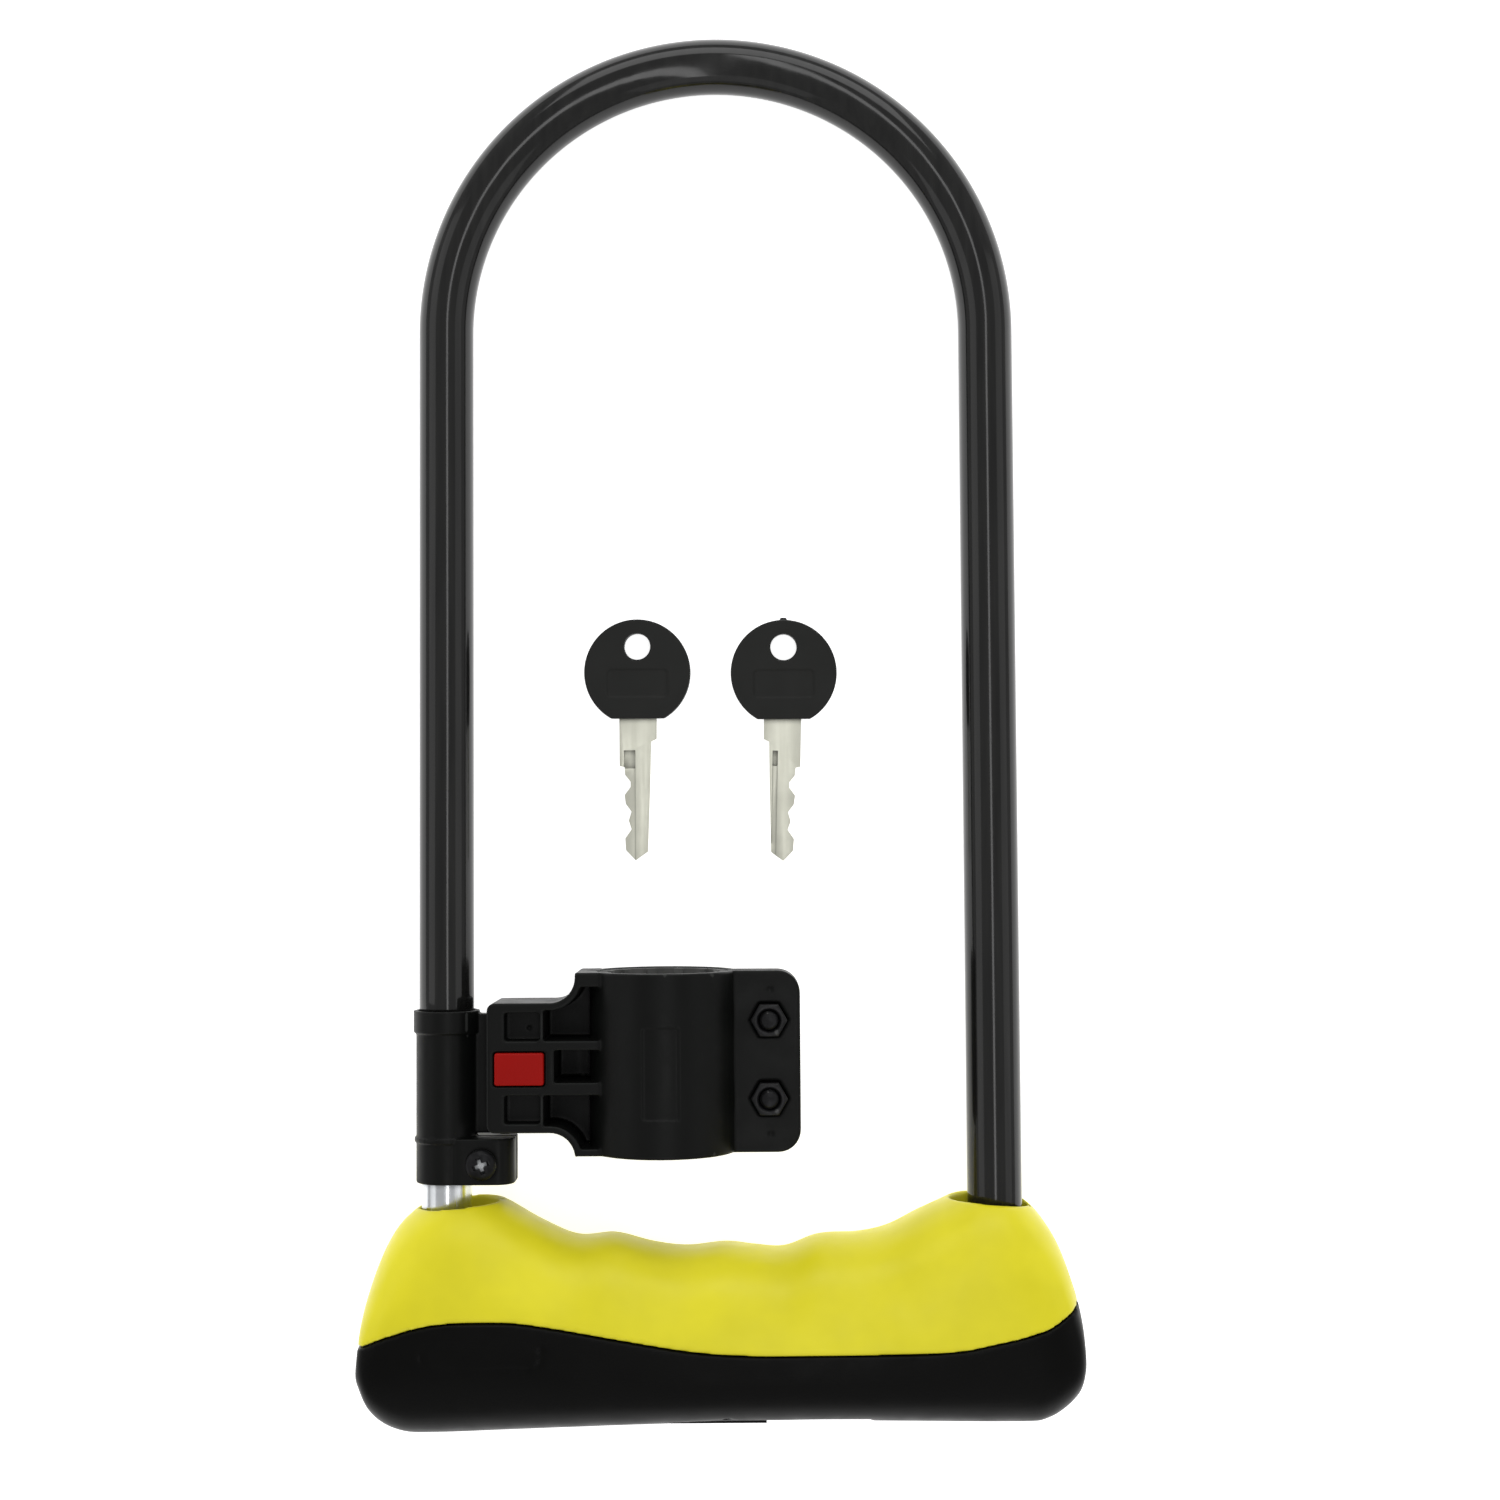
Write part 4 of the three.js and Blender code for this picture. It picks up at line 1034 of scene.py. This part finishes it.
def cover_screws():
    for side in ("left", "right"):
        low, high = lock_box(f"cover_screw_{side}")
        spot = (low + high) / 2
        head_r = (high.x - low.x) / 2
        radius, seat = SCREW["radius"], low.y + SCREW["head"]
        profile = [
            (0, low.y), (head_r - 0.4, low.y), (head_r, low.y + 0.5), (head_r, seat),
            (radius, seat), (radius, high.y - 2.5), (0.5, high.y), (0, high.y),
        ]
        shape = cut(lathe(profile), *cross_slot(1.5, (low.y - 1, low.y + 1)))
        upright = Matrix.Rotation(-math.pi / 2, 4, "X")
        add_piece(
            f"shell_screw_{side}", shifted(moved(shape, upright), spot.x, 0, spot.z), OXIDE,
            body="crossbar", replaces=[f"cover_screw_{side}"],
        )


# ---- Keys, lying flat beside the lock ----

KEY = {"head_r": 14.4, "flat": 12.5, "head_thick": 5, "thick": 2.2, "tip": 52}
MILLED_FROM = -21.3  # where the ledge and the groove along the blade begin


def key_places():
    """The centre of each key's head, and 1 or -1 for the hand of its cuts."""
    for i, hand in ((1, 1), (2, -1)):
        low, high = (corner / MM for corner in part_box(f"key_{i}_head"))
        middle = (low + high) / 2
        yield i, hand, Vector((middle.x, high.y - KEY["head_r"], middle.z))


# The blade of key 1 from above, about the centre of its head: three deep cuts along one edge.
BLADE = [
    (-5.1, -5), (-5.1, -25.7), (-3.8, -26), (-3.6, -28.2), (-2.1, -30.1), (-2.1, -31.5), (-3.8, -33.7),
    (-3.5, -36.2), (-1.9, -38.4), (-2.7, -40.9), (-1.9, -43.3), (-3.7, -45.8), (-3.5, -49.1),
    (-0.8, -KEY["tip"]), (2.6, -49.6), (3.3, -32), (3.7, -18.9), (5.2, -18.2), (5.3, -5),
]


def key_blade(i, hand, place):
    """The cut blade: a ledge milled along one face, a groove along the other. Key 2 lies turned over."""
    half = KEY["thick"] / 2
    ledge_xs, groove_xs = (-3.9, -0.7), (1.2, 2.7)
    milled = (-60, MILLED_FROM)
    ledge = block(ledge_xs, milled, (half - 0.4, 3))
    ledge_end = plate(rounded_rectangle(ledge_xs, (-26.4, MILLED_FROM), 0.4), (half - 1.3, 3))
    groove = block(groove_xs, milled, (-3, -half + 0.45))
    groove_end = plate(rounded_rectangle(groove_xs, (-25.6, MILLED_FROM), 0.4), (-3, -half + 1.2))
    blank = plate(BLADE, (-half, half))
    shape = bevelled(cut(blank, ledge, ledge_end, groove, groove_end), 0.14, 2, 25)
    if hand < 0:
        askew = Matrix.Rotation(math.radians(-1.4), 4, "Z")
        shape = moved(shape, askew @ Matrix.Rotation(math.pi, 4, "Y"))
    add_piece(
        f"toothed_blade_{i}", shape, NICKEL,
        body=f"key_{i}", replaces=[f"key_{i}_blade"], sharp_angle=35,
        place=Matrix.Translation(place * MM),
    )


def key_head(i, hand, place):
    """The moulded head, with a blank panel where lettering would be. Key 2 shows the mould's gate."""
    half, middle = KEY["head_thick"] / 2, 0.3
    radius, flat = KEY["head_r"] + 0.35, KEY["flat"] + middle
    start = -math.asin(flat / radius)
    body = plate(arc((0, middle), radius, start, math.pi - start, 96), (-half, half))
    if hand < 0:
        body = join(body, block((-0.9, 0.9), (radius - 1, radius + middle + 0.7), (-0.8, 0.8)))
    ring_hole = rod("z", 3.65, (-2 * half, 2 * half), (0, 7.2 + middle), 64)
    slot_half = KEY["thick"] / 2 + GAP
    slot = block((-5.7, 5.7), (-REACH, -4.7), (-slot_half, slot_half))
    panel = plate(rounded_rectangle((-8.4, 8.4), (-6.6, 1.2), 1.2), (half - 0.3, 2 * half))
    shape = moulded(cut(body, ring_hole, slot, panel), 0.24, 4)
    add_piece(
        f"round_head_{i}", shape, KEY_BLACK,
        body=f"key_{i}", replaces=[f"key_{i}_head"],
        place=Matrix.Translation(place * MM),
    )


def build_keys():
    for i, hand, place in key_places():
        key_blade(i, hand, place)
        key_head(i, hand, place)


# ---- Floor, lights and camera ----


def area_light(name, place, target, size, power):
    light = bpy.data.lights.new(name, "AREA")
    light.shape = "RECTANGLE"
    light.size, light.size_y = size
    light.energy = power
    obj = bpy.data.objects.new(name, light)
    obj.location = place
    obj.rotation_euler = (Vector(target) - Vector(place)).to_track_quat("-Z", "Y").to_euler()
    bpy.context.scene.collection.objects.link(obj)


SOFTBOXES = [(-1.3, 0.3, 3), (1.3, 0.1, 2), (0.1, 1.5, 9), (-0.1, -1.4, 1.5)]  # x, y and power


def pale_floor():
    """A wide white floor that glows a little, as a lit light table does."""
    half = 20000
    floor_mesh = block((-half, half), (-half, half), (-20, 0))
    floor_mesh.transform(Matrix.Scale(MM, 4))
    paper = Nodes("floor_white")
    tint = paper.mix(paper.noise(300, 2), (0.93, 0.93, 0.93), (0.95, 0.95, 0.95))
    paper.set(Emission_Color=(1, 1, 1, 1), Emission_Strength=0.75)
    floor_mesh.materials.append(paper.finish(tint, paper.spread(paper.noise(80, 2), 0.85, 0.95)))
    scene_object(floor_mesh, "pale_floor")


def studio():
    """A soft even room, a softbox on each side, and a narrow light over the legs."""
    pale_floor()
    for i, (x, y, power) in enumerate(SOFTBOXES):
        area_light(f"softbox_{i}", (x, y, 0.85), (0, 0, 0), (1.5, 0.8), power)
    area_light("overhead_strip", (0.06, 0, 0.75), (0.06, 0, 0), (0.09, 1.6), 1.7)
    world = bpy.data.worlds.new("studio")
    world.use_nodes = True
    background = world.node_tree.nodes["Background"]
    background.inputs["Color"].default_value = (1, 1, 1, 1)
    background.inputs["Strength"].default_value = 0.55
    bpy.context.scene.world = world
    bpy.context.scene.view_settings.view_transform = "Standard"


def camera():
    """Straight above the lock, a little over half a metre away."""
    data = bpy.data.cameras.new("photo_view")
    data.lens, data.sensor_width = 52.8, 36
    obj = bpy.data.objects.new("photo_view", data)
    aimed_at = LOCK @ (Vector((8.7, 158, 0)) * MM)
    obj.location = aimed_at + Vector((0, 0, 0.6))
    obj.rotation_euler.z = -0.0065
    bpy.context.scene.collection.objects.link(obj)
    bpy.context.scene.camera = obj


upper_cover()
lower_cover()
dust_cover()
cover_screws()
sleeve()
bar()
collar()
collar_screw()
collar_nut()
clamp_front()
clamp_rear()
clamp_pad("clamp_pad_front", 1)
clamp_pad("clamp_pad_rear", -1)
clamp_fasteners()
release_button()
build_keys()
finish_cad_nodes()
studio()
camera()
